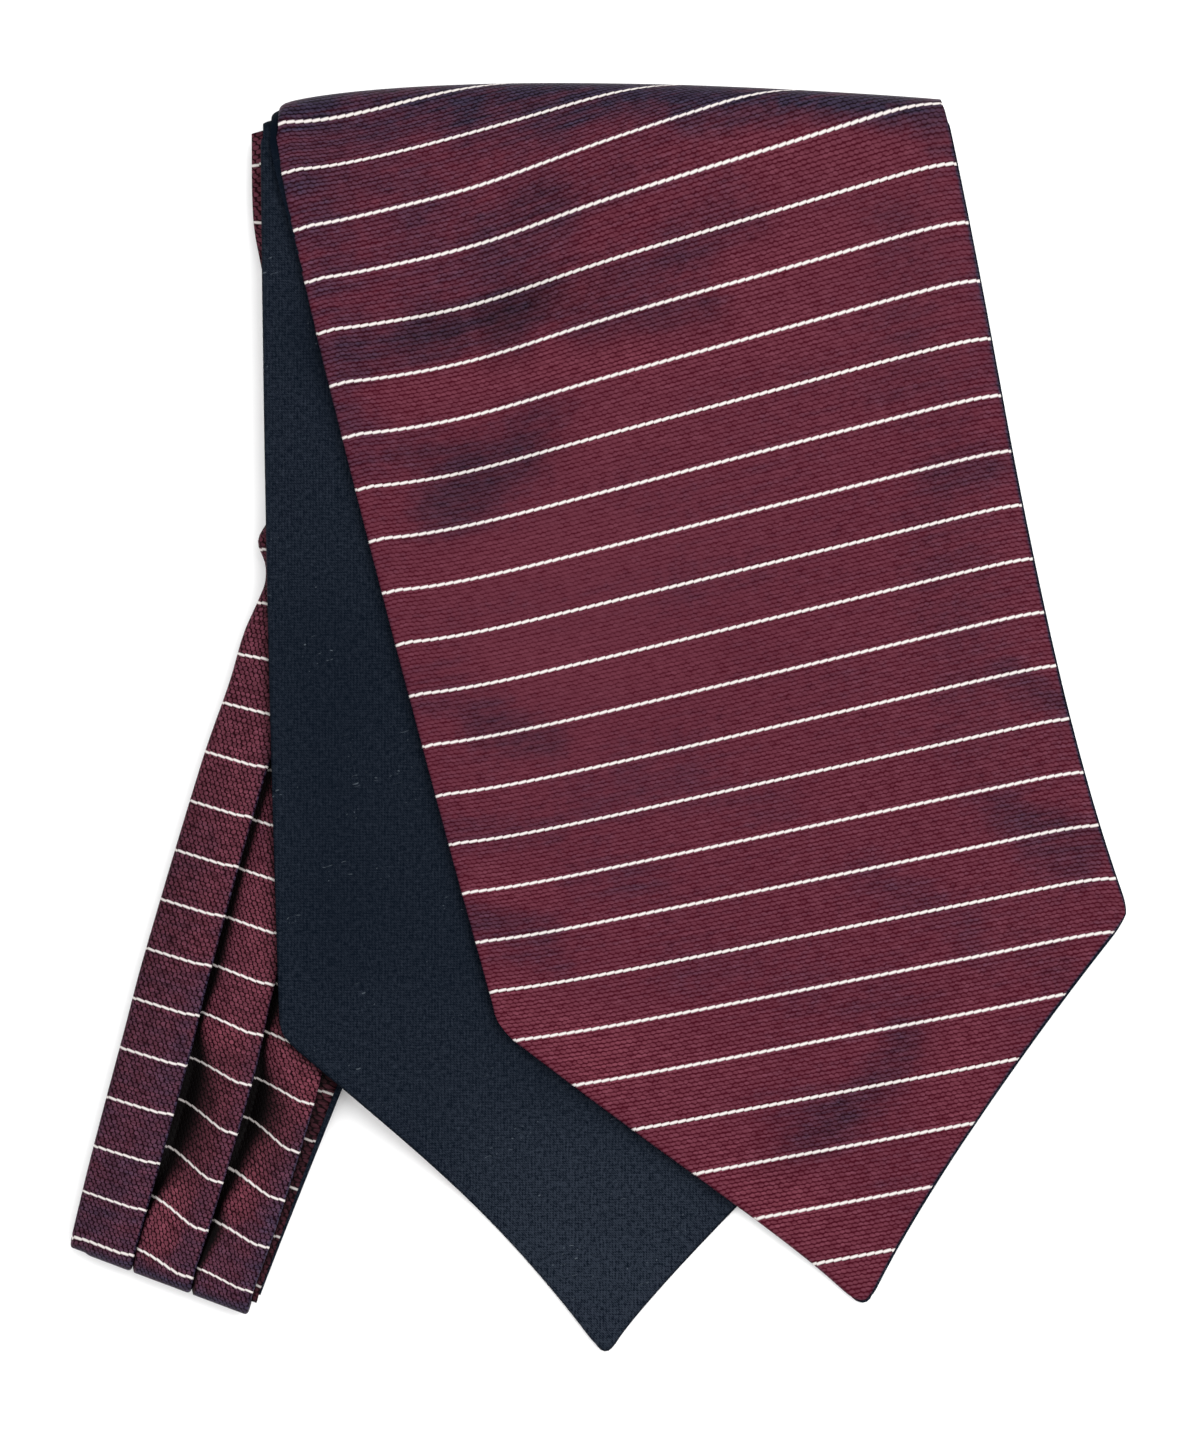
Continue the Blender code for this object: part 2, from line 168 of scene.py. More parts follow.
class Blade(NamedTuple):
    """Corners of a blade in plan, and the bows of its edges, which run down it and from left to right."""
    fold_left: complex
    fold_right: complex
    shoulder_left: complex
    shoulder_right: complex
    tip: complex
    fold: Bow
    left: Bow
    right: Bow
    point_left: Bow
    point_right: Bow
    tip_round: float


FRONT = Blade(
    fold_left=-79.9 + 153.7j, fold_right=85.4 + 155.0j,
    shoulder_left=-24.6 - 78.0j, shoulder_right=132.8 - 49.2j, tip=66.8 - 148.6j,
    fold=Bow(-5.0, 0.71), left=Bow(3.9, 0.5), right=Bow(3.5, 1.8),
    point_left=Bow(-1.6, 2.6), point_right=Bow(-3.3, 0.8), tip_round=0.045)

FRONT_LINING = FRONT._replace(fold_right=85.8 + 154.6j, shoulder_right=133.2 - 49.4j, tip=67.2 - 148.8j)
LINING_CORNER = -1.9 - 0.6j  # how far the front blade's lining shows at the top left corner,
LINING_CORNER_REACH = 0.17  # down what share of the blade it narrows,
LINING_CORNER_POWER = 6  # and how fast it does across the blade
BACK_SILK_INSET = 0.6  # how far inside its lining's edge the back blade's silk stays

BACK = Blade(
    fold_left=-84.2 + 149.4j, fold_right=76.6 + 151.4j,
    shoulder_left=-79.4 - 79.3j, shoulder_right=82.4 - 75.4j, tip=2.2 - 161.2j,
    fold=Bow(-4.4, 1.0), left=Bow(0.8, 1.0), right=Bow(0.8, 1.0),
    point_left=Bow(-4.0, 1.2), point_right=Bow(-2.9, 0.55), tip_round=0.045)


class Section(NamedTuple):
    """One section across the neckband in plan, at a distance up the run from the lower fold."""
    along: float
    left: complex
    right: complex
    pleats: float  # width of the three pressed pleats
    opening: float  # 0 where the pleats are pressed shut, 1 where they have fanned out


SECTIONS = table(
    Section,
    (0, -131.5 - 127.2j, -85.2 - 144.6j, 48.2, 0),
    (17.4, -127.3 - 109.8j, -77.8 - 124.9j, 50.1, 0),
    (50.7, -118.8 - 77.6j, -66.2 - 93.7j, 51.2, 0),
    (68.7, -114.2 - 60.2j, -59.3 - 76.9j, 50, 0),
    (120.5, -99.4 - 10.6j, -40 - 28j, 47.4, 0.03),
    (141.5, -92.6 + 9.4j, -28 - 5j, 50.5, 0.15),
    (154, -89.3 + 21.2j, -18.4 + 10.6j, 48.6, 0.24),
    (163.4, -85.8 + 30j, -10 + 22j, 50.5, 0.35),
    (168, -84.4 + 34.5j, -3 + 27j, 50.5, 0.4),
    (195.5, -83.4 + 62j, 34 + 56j, 50.5, 0.65),
    (237.5, -83.2 + 104j, 66 + 101j, 50.5, 0.92),
    (258, -86.4 + 124j, 71 + 124j, 50.5, 1),
    (279.6, -86.9 + 144.9j, 75 + 146.4j, 50.5, 1),
)

PLEAT_FACES = (17.3, 16.2, 15.7)  # width of each pleat's face


class Crease(NamedTuple):
    """A soft ridge or trough along a line between two points, and the painted sheen, highlight and shade on
    it.
    """
    start: complex
    end: complex
    left: float  # width of its slope to the left of the way it runs,
    right: float  # and to the right
    tone: float = 0.0  # painted sheen and highlight: above 0 navy as if turned from the light, below 0 redder as if leaning to it
    shade: float = 0.0  # painted shade: how far it is darkened as well
    height: float = 0.0  # below 0 in a trough


TONE_SPREAD = 1.3  # how far a crease's tone reaches, in its widths


class Ripple(NamedTuple):
    """A faint wave of the cloth."""
    way: complex
    length: float
    height: float
    bend: float


RIPPLES = table(
    Ripple,
    (0.34 + 0.94j, 31, 0.10, 1.1),
    (0.91 - 0.41j, 47, 0.13, 0.9),
    (0.68 + 0.73j, 19, 0.05, 1.6),
)

# On the front blade the heights are real folds; the tones are painted sheen and highlights, the shades
# painted shade.
FRONT_CREASES = table(
    Crease,
    (22 + 140j, -66 + 92j, 18, 14, 0, 0, 1.7),
    (30 + 104j, -52 + 70j, 16, 12, 0, 0, 1.4),
    (40 + 20j, 96 - 12j, 20, 20, 0, 0, 0.8),
    (104 - 62j, 52 - 96j, 15, 17, 0, 0, 1.2),
    (-84 + 154j, -10 + 159j, 10, 11, 0.95, 0.1),
    (-10 + 160j, 90 + 156j, 9, 10, 1, 0.1),
    (-32 + 148j, -10 + 150j, 8, 9, 0.62, 0.05),
    (-8 + 151j, 20 + 152j, 6, 9, 0.3, 0.03),
    (24 + 149j, 42 + 151j, 7, 6, 0.46, 0.03),
    (72 + 153j, 90 + 144j, 8, 8, 0.4, 0.04),
    (-74 + 148j, -36 + 112j, 28, 30, 0.32),
    (-78 + 152j, -58 + 64j, 9, 9, 0.38),
    (-58 + 145j, -48 + 128j, 9, 9, 0.12),
    (-72 + 142j, -64 + 132j, 9, 9, 0.15, 0.04, -0.2),
    (-61 + 91j, -40 + 94j, 8, 9, 0.4, 0.1, -0.2),
    (-44 + 98j, -24 + 100j, 6, 8, 0.42, 0.24, -0.4),
    (-24 + 100j, -12 + 106j, 6, 7, 0.3, 0.15),
    (-26 + 101j, -16 + 104j, 7, 6, 0.16, 0.14),
    (-20 + 104j, 0 + 108j, 10, 8, 0.3, 0.16, -0.3),
    (-4 + 96j, 28 + 101j, 7, 7, 0.4, 0.12),
    (10 + 111j, 26 + 115j, 7, 7, 0.18, 0.06),
    (-26 + 90j, -20 + 91j, 6, 6, 0.26, 0.14),
    (-40 + 50j, -32 + 56j, 10, 10, 0.28, 0.1, -0.4),
    (-34 + 56j, -14 + 70j, 13, 11, 0.36, 0.12, -0.5),
    (-28 + 62j, -17 + 66j, 7, 6, 0.16, 0.1),
    (-48 + 66j, -34 + 67j, 6, 6, 0.24, 0.1),
    (-28 + 119j, -12 + 126j, 9, 9, 0.34, 0.12, -0.3),
    (-14 + 127j, 2 + 128j, 8, 8, 0.16, 0.05),
    (-20 + 133j, 2 + 136j, 8, 7, 0.2, 0.04),
    (20 + 120j, 38 + 123j, 8, 8, 0.32, 0.06),
    (10 + 134j, 30 + 132j, 8, 6, 0.16),
    (-30 - 3j, -12 - 6j, 7, 6, 0.34, 0.12, -0.3),
    (-44 + 6j, -28 + 3j, 8, 6, 0.22, 0.04),
    (-38 - 28j, -12 - 29j, 6, 5, 0.22, 0.03),
    (-30 - 51j, -14 - 54j, 6, 5, 0.34, 0.1, -0.2),
    (-26 - 61j, -10 - 62j, 5, 5, 0.22, 0.02),
    (44 - 112j, 59 - 101j, 9, 8, 0.46, 0.12, -0.3),
    (64 - 97j, 76 - 81j, 6, 9, 0.32, 0.1, -0.4),
    (79 - 78j, 92 - 62j, 8, 9, 0.32, 0.03),
    (34 - 98j, 50 - 96j, 7, 6, 0.15),
    (50 - 70j, 84 - 70j, 8, 8, 0.18, 0.02),
    (84 + 60j, 102 + 65j, 6, 6, 0.28, 0.08, -0.2),
    (103 + 11j, 120 + 2j, 5, 6, 0.42, 0.08, -0.3),
    (103 - 24j, 124 - 30j, 6, 7, 0.46, 0.1, -0.3),
    (109 - 33j, 121 - 37j, 5, 7, 0.36, 0.03),
    (74 + 124j, 94 - 10j, 15, 13, 0.12, 0.05),
    (22 + 34j, 38 + 34j, 8, 7, 0.14, 0.02),
    (-2 - 22j, 20 - 19j, 8, 7, 0.16),
    (-4 - 40j, 12 - 41j, 7, 7, 0.28),
    (8 - 10j, 22 - 11j, 7, 7, 0.18),
    (32 - 20j, 46 - 21j, 7, 7, 0.18),
    (68 - 39j, 92 - 51j, 7, 7, 0.24),
    (107 - 56j, 114 - 63j, 8, 8, 0.12, 0.06),
    (18 - 62j, 36 - 64j, 9, 9, 0.12),
    (-60 + 80j, -52 + 79j, 7, 6, 0.18),
    (-68 + 111j, -60 + 110j, 6, 6, 0.18),
    (-58 + 80j, 10 + 90j, 7, 6, -0.4, 0, 0.2),
    (10 + 90j, 50 + 98j, 10, 9, -0.3, 0, 0.2),
    (36 + 113j, 60 + 118j, 9, 9, -0.3, 0, 0.2),
    (40 + 142j, 74 + 138j, 9, 9, -0.25),
    (-6 + 68j, 14 + 76j, 10, 9, -0.25),
    (-40 + 36j, 2 + 44j, 9, 9, -0.2),
    (-24 + 14j, 24 + 12j, 10, 9, -0.2),
    (62 - 18j, 80 - 18j, 9, 9, -0.15),
    (-28 - 42j, -16 - 44j, 6, 5, -0.3, 0, 0.2),
    (-24 - 72j, 0 - 86j, 12, 12, -0.5),
    (0 - 84j, 44 - 122j, 14, 14, -0.45),
    (44 - 118j, 66 - 136j, 14, 12, -0.4, 0, 0.2),
    (88 - 70j, 92 - 100j, 12, 12, -0.45, 0, 0.2),
    (14 - 80j, 34 - 88j, 10, 10, -0.3),
)


class Haze(NamedTuple):
    """A place where the weave shows less."""
    middle: complex
    reach: float
    strength: float


WEAVE_SHOWS = 0.84  # how clearly the weave shows away from these
HAZES = table(
    Haze,
    (-5 + 25j, 70, 0.48),
    (85 + 115j, 45, 0.28),
    (95 + 20j, 50, 0.15),
)

# On the back blade's lining the tones are painted light and shade: below 0 lighter, above 0 darker; heights
# are real.
BACK_CREASES = table(
    Crease,
    (-70 + 20j, -64 - 60j, 12, 14, 0.1, 0, 0.4),
    (-50 + 60j, -70 + 96j, 10, 12, 0.2, 0, 0.4),
    (-30 - 100j, 14 - 118j, 14, 12, -0.05, 0, 0.5),
    (-8 - 134j, 12 - 142j, 9, 9, -0.05, 0, 0.4),
    (-10 - 142j, 6 - 146j, 42, 42, -0.7),
    (-54 + 10j, -48 - 40j, 38, 38, 0.15),
)

# On the neckband the tones are painted: below 0 red highlights, above 0 navy sheen; shades are painted shade.
NECK_CREASES = table(
    Crease,
    (-88 - 4j, -92 - 34j, 5, 4, -0.25),
    (-95 - 38j, -99 - 60j, 4, 4, -0.15),
    (-90 - 20j, -88 - 62j, 6, 5, -0.15),
    (-84 - 42j, -85 - 68j, 6, 5, -0.35),
    (-99 - 79j, -92 - 80j, 3.5, 4, -0.6, 0, 0.2),
    (-106 - 118j, -110 - 131j, 5, 6, -0.9, 0, 0.3),
    (-80 - 80j, -72 - 92j, 7, 5, -0.6, 0, 0.3),
    (-73 - 92j, -74 - 97j, 4, 4, -0.5),
    (-84 - 104j, -85 - 108j, 3, 3, -0.9),
    (-88 - 114j, -91 - 122j, 5, 4, -1, 0, 0.2),
    (-101 - 70j, -122 - 126j, 2.5, 2.5, 0.12),
    (-85 - 80j, -104 - 134j, 3, 3, 0.2),
    (-72 - 104j, -86 - 140j, 5, 4, 0.2),
    (-76 - 106j, -82 - 112j, 6, 5, 0.15, 0.1),
    (-122 - 116j, -127 - 126j, 6, 6, 0.2, 0.1),
)


class Stripe(NamedTuple):
    """Where one woven stripe runs across the front blade, counted down from the top fold."""
    number: float
    height: float  # y where it crosses the line x = STRIPE_MIDDLE
    slope: float
    hook: float  # how far its left end lies above that slope
    crook: float  # how far it sags below the slope where the top creases cross it


STRIPE_SAMPLES = 113  # places down the blade at which the table of stripes is read
STRIPE_MIDDLE = 40.0
STRIPE_SLOPE = 0.256  # of a stripe halfway down the blade
HOOK_WIDTH = 14.0
CROOK_X = -30.0
CROOK_WIDTH = 22.0
LEFT_EDGE = -81.0  # x of the front blade's left edge at stripe 0,
LEFT_EDGE_STEP = 3.1  # and how far right it moves for each stripe

STRIPES = table(
    Stripe,
    (-3, 246, 0.32, 4.7, 0),
    (1, 180.4, 0.31, 4.7, 0),
    (2, 166.4, 0.285, 3.2, 0.2),
    (3, 156.4, 0.322, 2.4, 1.3),
    (5, 125.2, 0.292, 2.6, 1.6),
    (9, 66.2, 0.256, 2.6, 0.3),
    (13, 10.4, 0.234, 1.9, 0),
    (17, -43.4, 0.202, 1.5, 0),
    (21, -97.6, 0.186, 1.1, -0.6),
    (25, -153.4, 0.17, 0, -0.6),
)
RIGHT_EDGE = 121.5  # x of the front blade's right edge at y = 0,
RIGHT_EDGE_LEAN = -0.229  # and how it leans
TAIL = 1.5  # how far the stripes' right ends lie below their slope,
TAIL_WIDTH = 4.5  # and over what width

STRIPE_PITCH = 13.2  # between two stripes, measured on the cloth
NECK_PITCH = 12.85  # the same along the neckband as it lies,
NECK_FAN_PITCH = 13.67  # where its pleats have fanned out,
NECK_FAN_START = 148.5  # and where that starts
NECK_FIRST_STRIPE = 7.2  # distance of a stripe from the lower fold
NECK_FOLD_PULL = 0.0055  # how the stripes draw together near that fold
NECK_FOLD_REACH = 26.0


class Tuck(NamedTuple):
    """How the left sides of the second and third pleats are drawn in under the pleats before them."""
    along: float
    second_rise: float  # how far the stripes bend up there,
    third_rise: float
    second_sink: float  # how deep the face sinks,
    third_sink: float
    second_dark: float  # how wide the painted black shadow beside the edge is,
    third_dark: float
    second_face_shade: float  # and how dark the painted shade on the face beyond it
    third_face_shade: float


TUCKS = table(
    Tuck,
    (-40, 1.8, 1, 0, 0, 0.8, 0.8, 0, 0),
    (-1, 2.3, 1.4, 0, 0, 0.8, 1, 0, 0),
    (6, 3.6, 2.2, -0.3, 0, 0.8, 2.6, 0, 0.05),
    (10, 4.3, 2.6, -0.4, -0.1, 1.3, 3.6, 0.08, 0.15),
    (16, 4.8, 3.2, -0.1, -0.3, 3.8, 2.4, 0.2, 0.04),
    (22, 5.1, 3.8, 0.4, -0.1, 5.6, 4.2, 0.44, 0.1),
    (30, 5, 4.9, 1.3, 0.6, 7.4, 5.6, 0.52, 0.24),
    (38, 4.4, 5, 1.4, 1.6, 8, 8.4, 0.46, 0.44),
    (46, 3, 2.9, 0.6, 1.2, 6.8, 7.4, 0.4, 0.3),
    (51, 2.3, 2.2, 0, 0.3, 4.4, 4, 0.2, 0.05),
    (57, 1.7, 1.7, -0.4, -0.2, 1.5, 1.6, 0, 0),
    (70, 0.9, 1.1, -0.4, -0.4, 3, 3.6, 0, 0),
    (90, 0.3, 0.6, -0.3, -0.4, 2.4, 2.6, 0, 0),
    (110, 0, 0, 0, 0, 2.4, 2, 0, 0),
    (290, 0, 0, 0, 0, 1, 1, 0, 0),
)
TUCK_WIDTH = 15.0  # how far in from a pleat's left side it reaches
SINK_START = 0.25  # how far up its rise the face has sunk fully
BLACK_START = 0.45  # what share of its width the painted black shadow beside an edge is full over,
BLACK_FADE = 0.9  # over what share more it fades,
BLACK_FADE_LEAST = 0.3  # over what width at least,
BLACK_OPENING = 3.0  # and how much faster than the pleats open it goes
SLIVER_RISE = 4.2  # how far the stripes lie higher on the silk beyond the last pleat
LAST_RISE = 1.9  # how far they lie higher on the last pleat at the lower fold,
LAST_RISE_REACH = 10.0  # and how far up the run that fades
EDGE_LIFT = 0.45  # how far they bend up at a pleat's right edge,
EDGE_LIFT_WIDTH = 3.0  # and over what width
FACE_SHADE_START = 7.5  # how far from that edge the painted shade on the face starts to fade,
FACE_SHADE_END = 16.0  # and where it ends
RIM_WIDTH = 4.5  # width of the band at a pleat's right edge that is painted navy as sheen turned from the light,
RIM_TONE = 0.16  # and how much so
PLEAT_ROUND = 1.0  # painted shade: how much darker the first pleat's rounded face is at its left side than in its middle
BLADE_SHADE = 0.6  # how dark the painted shadow is that the back blade's edge casts on the silk,
BLADE_SHADE_WIDTH = 3.0  # and over what width
HIDDEN_SHADE = 0.85  # how dark the painted shade is on the silk inside the pleats
SLIVER_SHADE = 0.72  # how dark the painted shade is on the silk beyond the last pleat,
SLIVER_BLACK = 1.0  # how wide the painted black shadow on it is,
SLIVER_BLACK_START = 1.0  # and how far under the last pleat that starts


class PleatTone(NamedTuple):
    """How navy each pleat looks at a distance up the run, as painted sheen, and how dark the first one and
    the others are.
    """
    along: float
    first: float
    second: float
    third: float
    first_shade: float
    shade: float


PLEAT_TONES = table(
    PleatTone,
    (-40, 0.6, 0.6, 0.6, 0.1, 0.1),
    (-3, 0.5, 0.5, 0.55, 0.05, 0.05),
    (3, 0.32, 0.3, 0.38, 0.03, 0.02),
    (12, 0.36, 0.1, 0.34, 0.05, 0.02),
    (30, 0.38, 0.04, 0.1, 0.11, 0.06),
    (48, 0.3, -0.15, -0.14, 0.15, 0.03),
    (60, 0.22, -0.2, -0.1, 0.16, 0),
    (80, 0.14, -0.05, 0, 0.2, 0),
    (105, 0.04, 0, 0, 0.16, 0),
    (130, -0.1, 0, 0, 0.05, 0),
    (290, 0, 0, 0, 0, 0),
)
SHADE_RED = 0.5  # how much redder the silk is painted where painted shade falls in a pleat
FOLD_FILL = 5.0  # how much faster the faces rise at the lower fold,
FOLD_FILL_REACH = 20.0  # and how far up the run that fades


# ---- curves and tables

def ease(share):
    """0 below 0, 1 above 1, and a smooth rise between."""
    held = np.clip(share, 0.0, 1.0)
    return held * held * (3.0 - 2.0 * held)


def unit(way):
    """A direction in plan, of length 1."""
    return way / abs(way)


def bowed(start, end, bow, share):
    """The point a share of the way from start to end, on a line that bows to its right."""
    run = end - start
    leaning = share ** bow.lean
    return start + run * share - 1j * unit(run) * 4.0 * bow.height * leaning * (1.0 - leaning)


def mixed(first, second, share):
    """The point a share of the way between two points."""
    return first + (second - first) * share


def through(rows, at):
    """The rows of a table at other values of its first column, on smooth curves: a row for each value."""
    values = np.array(rows)
    last = len(values) - 1
    index = np.clip(np.searchsorted(values[:, 0].real, at, side="right") - 1, 0, last - 1)
    before, after = values[np.maximum(index - 1, 0)], values[np.minimum(index + 2, last)]
    start, end = values[index], values[index + 1]
    span = end[:, :1] - start[:, :1]
    share = (np.asarray(at)[:, None] - start[:, :1]) / span
    leave = (end - before) / (end[:, :1] - before[:, :1]) * span
    arrive = (after - start) / (after[:, :1] - start[:, :1]) * span
    square, cube = share ** 2, share ** 3
    return ((2 * cube - 3 * square + 1) * start + (cube - 2 * square + share) * leave
            + (3 * square - 2 * cube) * end + (cube - square) * arrive)


# ---- plans of the blades and the neckband

def point_edge(blade, across):
    """A blade's pointed end, from its left shoulder (0) round the tip (0.5) to its right one (1)."""
    near = blade.tip_round
    before = bowed(blade.shoulder_left, blade.tip, blade.point_left, 1.0 - near)
    after = bowed(blade.tip, blade.shoulder_right, blade.point_right, near)
    share = np.clip((across - 0.5) / near + 0.5, 0.0, 1.0)
    tip = mixed(mixed(before, blade.tip, share), mixed(blade.tip, after, share), share)
    left = bowed(blade.shoulder_left, blade.tip, blade.point_left, np.clip(across * 2.0, 0.0, 1.0))
    right = bowed(blade.tip, blade.shoulder_right, blade.point_right, np.clip(across * 2.0 - 1.0, 0.0, 1.0))
    return np.where(abs(across - 0.5) < near / 2.0, tip, np.where(across < 0.5, left, right))


def blade_plan(blade, across, down):
    """Points of a blade in plan: across it from 0 to 1, and down it from the fold (0) to the point (1)."""
    top = bowed(blade.fold_left, blade.fold_right, blade.fold, across)
    left = bowed(blade.fold_left, blade.shoulder_left, blade.left, down)
    right = bowed(blade.fold_right, blade.shoulder_right, blade.right, down)
    upper = mixed(blade.fold_left, blade.fold_right, across)
    lower = mixed(blade.shoulder_left, blade.shoulder_right, across)
    sides = mixed(left, right, across)
    return mixed(top, point_edge(blade, across), down) + sides - mixed(upper, lower, down)


def blade_outline(blade):
    """A blade's outline in plan, down its left side, round its point and up its right side to the fold."""
    share = np.arange(OUTLINE_STEPS) / OUTLINE_STEPS
    half = np.arange(2 * OUTLINE_STEPS) / (2 * OUTLINE_STEPS)
    return np.concatenate([blade_plan(blade, 0.0, share), blade_plan(blade, half, 1.0),
                           blade_plan(blade, 1.0, 1.0 - share), blade_plan(blade, 1.0 - share, 0.0)])


def neck_outline(steps=48):
    """The neckband's outline in plan."""
    run = through(SECTIONS, np.linspace(0.0, SECTIONS[-1].along, steps + 1))
    return np.concatenate([run[:, 1], run[::-1, 2]])


def distance_to(line, points):
    """How far points are from the nearest part of a line in plan."""
    nearest = np.full(points.shape, np.inf)
    for start, end in zip(line[:-1], line[1:]):
        run = end - start
        share = np.clip(((points - start) * run.conjugate()).real / abs(run) ** 2, 0.0, 1.0)
        nearest = np.minimum(nearest, abs(points - start - share * run))
    return nearest


def inside(outline, points):
    """Whether points are inside an outline in plan."""
    crossed = np.zeros(points.shape, bool)
    for start, end in zip(outline, np.roll(outline, -1)):
        if start.imag != end.imag:
            share = (points.imag - start.imag) / (end.imag - start.imag)
            crossed ^= (share >= 0.0) & (share < 1.0) & (points.real < (start + share * (end - start)).real)
    return crossed


NECK_OUTLINE = neck_outline()
BACK_OUTLINE = blade_outline(BACK)


# ---- how the layers lie on each other

def cover(outline, points, reach, fall):
    """1 over an outline and as far as reach outside it, then easing to 0 over the fall."""
    beyond = distance_to(np.append(outline, outline[0]), points)
    return ease(1.0 - (np.where(inside(outline, points), 0.0, beyond) - reach) / fall)


def creased(creases, points):
    """The height, and the painted tone and shade, that a table of creases adds at points."""
    height, redder = np.zeros(points.shape), np.zeros(points.shape)
    plain, lit = np.ones(points.shape), np.ones(points.shape)
    for crease in creases:
        run = crease.end - crease.start
        placed = (points - crease.start) * run.conjugate() / abs(run)
        past_end = np.maximum(np.maximum(-placed.real, placed.real - abs(run)), 0.0)
        width = np.where(placed.imag > 0.0, crease.left, crease.right)
        beside = np.hypot(placed.imag, past_end) / width
        height += crease.height * ease(1.0 - beside)
        near = np.maximum(1.0 - (beside / TONE_SPREAD) ** 2, 0.0) ** 2
        plain *= 1.0 - max(crease.tone, 0.0) * near
        redder += min(crease.tone, 0.0) * near
        lit *= 1.0 - crease.shade * near
    return height, 1.0 - plain + redder, 1.0 - lit


def crispness(points):
    """How clearly the weave shows at points of the blades, from 0 to 1."""
    return WEAVE_SHOWS - sum(haze.strength * np.exp(-(abs(points - haze.middle) / haze.reach) ** 2)
                             for haze in HAZES)


def rippled(points):
    """Height of the faint unevenness of cloth that has been folded away."""
    height = 0.0
    for ripple in RIPPLES:
        placed = points * ripple.way.conjugate()
        bend = ripple.bend * np.sin(placed.imag / ripple.length)
        height = height + ripple.height * np.sin(placed.real * 2.0 * math.pi / ripple.length + bend)
    return height


def back_base(points):
    """Height of the back blade's underside."""
    return BACK_LIFT * cover(NECK_OUTLINE, points, NECK_REACH, NECK_FALL)


def back_form(points):
    """Height of the back blade's underside with its creases."""
    return back_base(points) + rippled(points) + creased(BACK_CREASES, points)[0]


def front_form(points):
    """Height of the front blade's underside with its creases."""
    lift = FRONT_LIFT * cover(BACK_OUTLINE, points, BLADE_REACH, BLADE_FALL)
    return back_base(points) + lift + rippled(points) + creased(FRONT_CREASES, points)[0]


# ---- where the woven stripes run

def front_stripe(points):
    """Which stripe of the front blade passes through points, as a number with a fraction."""
    numbers = np.linspace(STRIPES[0].number, STRIPES[-1].number, STRIPE_SAMPLES)
    height, slope, hook, crook = through(STRIPES, numbers).real.T[1:]
    flat = points.ravel()
    found = np.empty(flat.shape)
    for index, point in enumerate(flat):
        from_left = np.maximum(point.real - LEFT_EDGE - LEFT_EDGE_STEP * numbers, 0.0)
        from_right = max(RIGHT_EDGE + RIGHT_EDGE_LEAN * point.imag - point.real, 0.0)
        y = (height + slope * (point.real - STRIPE_MIDDLE) + hook * np.exp(-from_left / HOOK_WIDTH)
             - crook * math.exp(-((point.real - CROOK_X) / CROOK_WIDTH) ** 2)
             - TAIL * math.exp(-from_right / TAIL_WIDTH))
        found[index] = np.interp(-point.imag, -y, numbers)
    return found.reshape(points.shape)


def blade_weave(points):
    """Places on the cloth for points of a blade: u along its stripes and v across them."""
    slant = math.atan(STRIPE_SLOPE)
    along = (points * complex(math.cos(slant), -math.sin(slant))).real
    return along, front_stripe(points) * STRIPE_PITCH


def straight_weave(points):
    """Places on a lining for points of a blade."""
    return points.real, points.imag


def neck_stripe(along):
    """Which stripe of the neckband passes a distance up its run, as a number with a fraction."""
    fold = np.maximum(NECK_FOLD_REACH - along, 0.0)
    fan = np.maximum(along - NECK_FAN_START, 0.0)
    pressed = along - fan - NECK_FIRST_STRIPE - NECK_FOLD_PULL * fold ** 2
    return pressed / NECK_PITCH + fan / NECK_FAN_PITCH


# ---- grids of the layers

class Layer(NamedTuple):
    """A layer of cloth as a grid: plan positions, heights, places in the weave, and the look of its silk."""
    plan: np.ndarray
    height: np.ndarray
    weave: tuple
    tone: np.ndarray
    shade: np.ndarray
    crisp: np.ndarray


TURN_ANGLES = math.pi * np.linspace(-0.5, 0.5, TURN_ROWS + 1)[:-1]


def return_rows(length):
    """Distances of the rows of cloth under a fold, towards it."""
    return np.linspace(length, 0.0, RETURN_ROWS + 1)[:-1]


def rounded_corners(blade, plan, across, from_fold, from_point):
    """The plan with its shoulders and top left corner rounded: points near one move in along its bisector."""
    width = abs(blade.fold_right - blade.fold_left)
    left, right = across * width, (1.0 - across) * width
    shoulder, top = (CORNER_ROUND, CORNER_REACH), (TOP_ROUND, TOP_REACH)
    for corner, up, out, away, (taken, reach) in (
            (blade.shoulder_left, blade.fold_left, blade.tip, left + from_point, shoulder),
            (blade.shoulder_right, blade.fold_right, blade.tip, right + from_point, shoulder),
            (blade.fold_left, blade.fold_right, blade.shoulder_left, left + from_fold, top)):
        near = np.maximum(1.0 - away / reach, 0.0)
        plan = plan + unit(unit(up - corner) + unit(out - corner)) * taken * near ** 2
    return plan


def blade_columns(width, inset):
    """Shares of the way across a blade, closer together at its edges, an inset inside them."""
    steps = np.array(EDGE_STEPS) / width
    middle = np.linspace(steps[-1], 1.0 - steps[-1], BLADE_COLUMNS)[1:-1]
    across = np.concatenate([steps, middle, (1.0 - steps)[::-1]])[None, :]
    return inset / width + across * (1.0 - 2.0 * inset / width)


def edge_fall(blade, points):
    """How much lower the outer layer of a blade lies near its edges."""
    without_fold = blade_outline(blade)[:4 * OUTLINE_STEPS + 1]
    from_edge = distance_to(without_fold, points)
    short = np.maximum(EDGE_ROUND - from_edge, 0.0)
    rounded = EDGE_ROUND - np.sqrt(np.maximum(EDGE_ROUND ** 2 - short ** 2, 0.0))
    return rounded + EDGE_CROWN * np.exp(-from_edge / EDGE_CROWN_WIDTH)


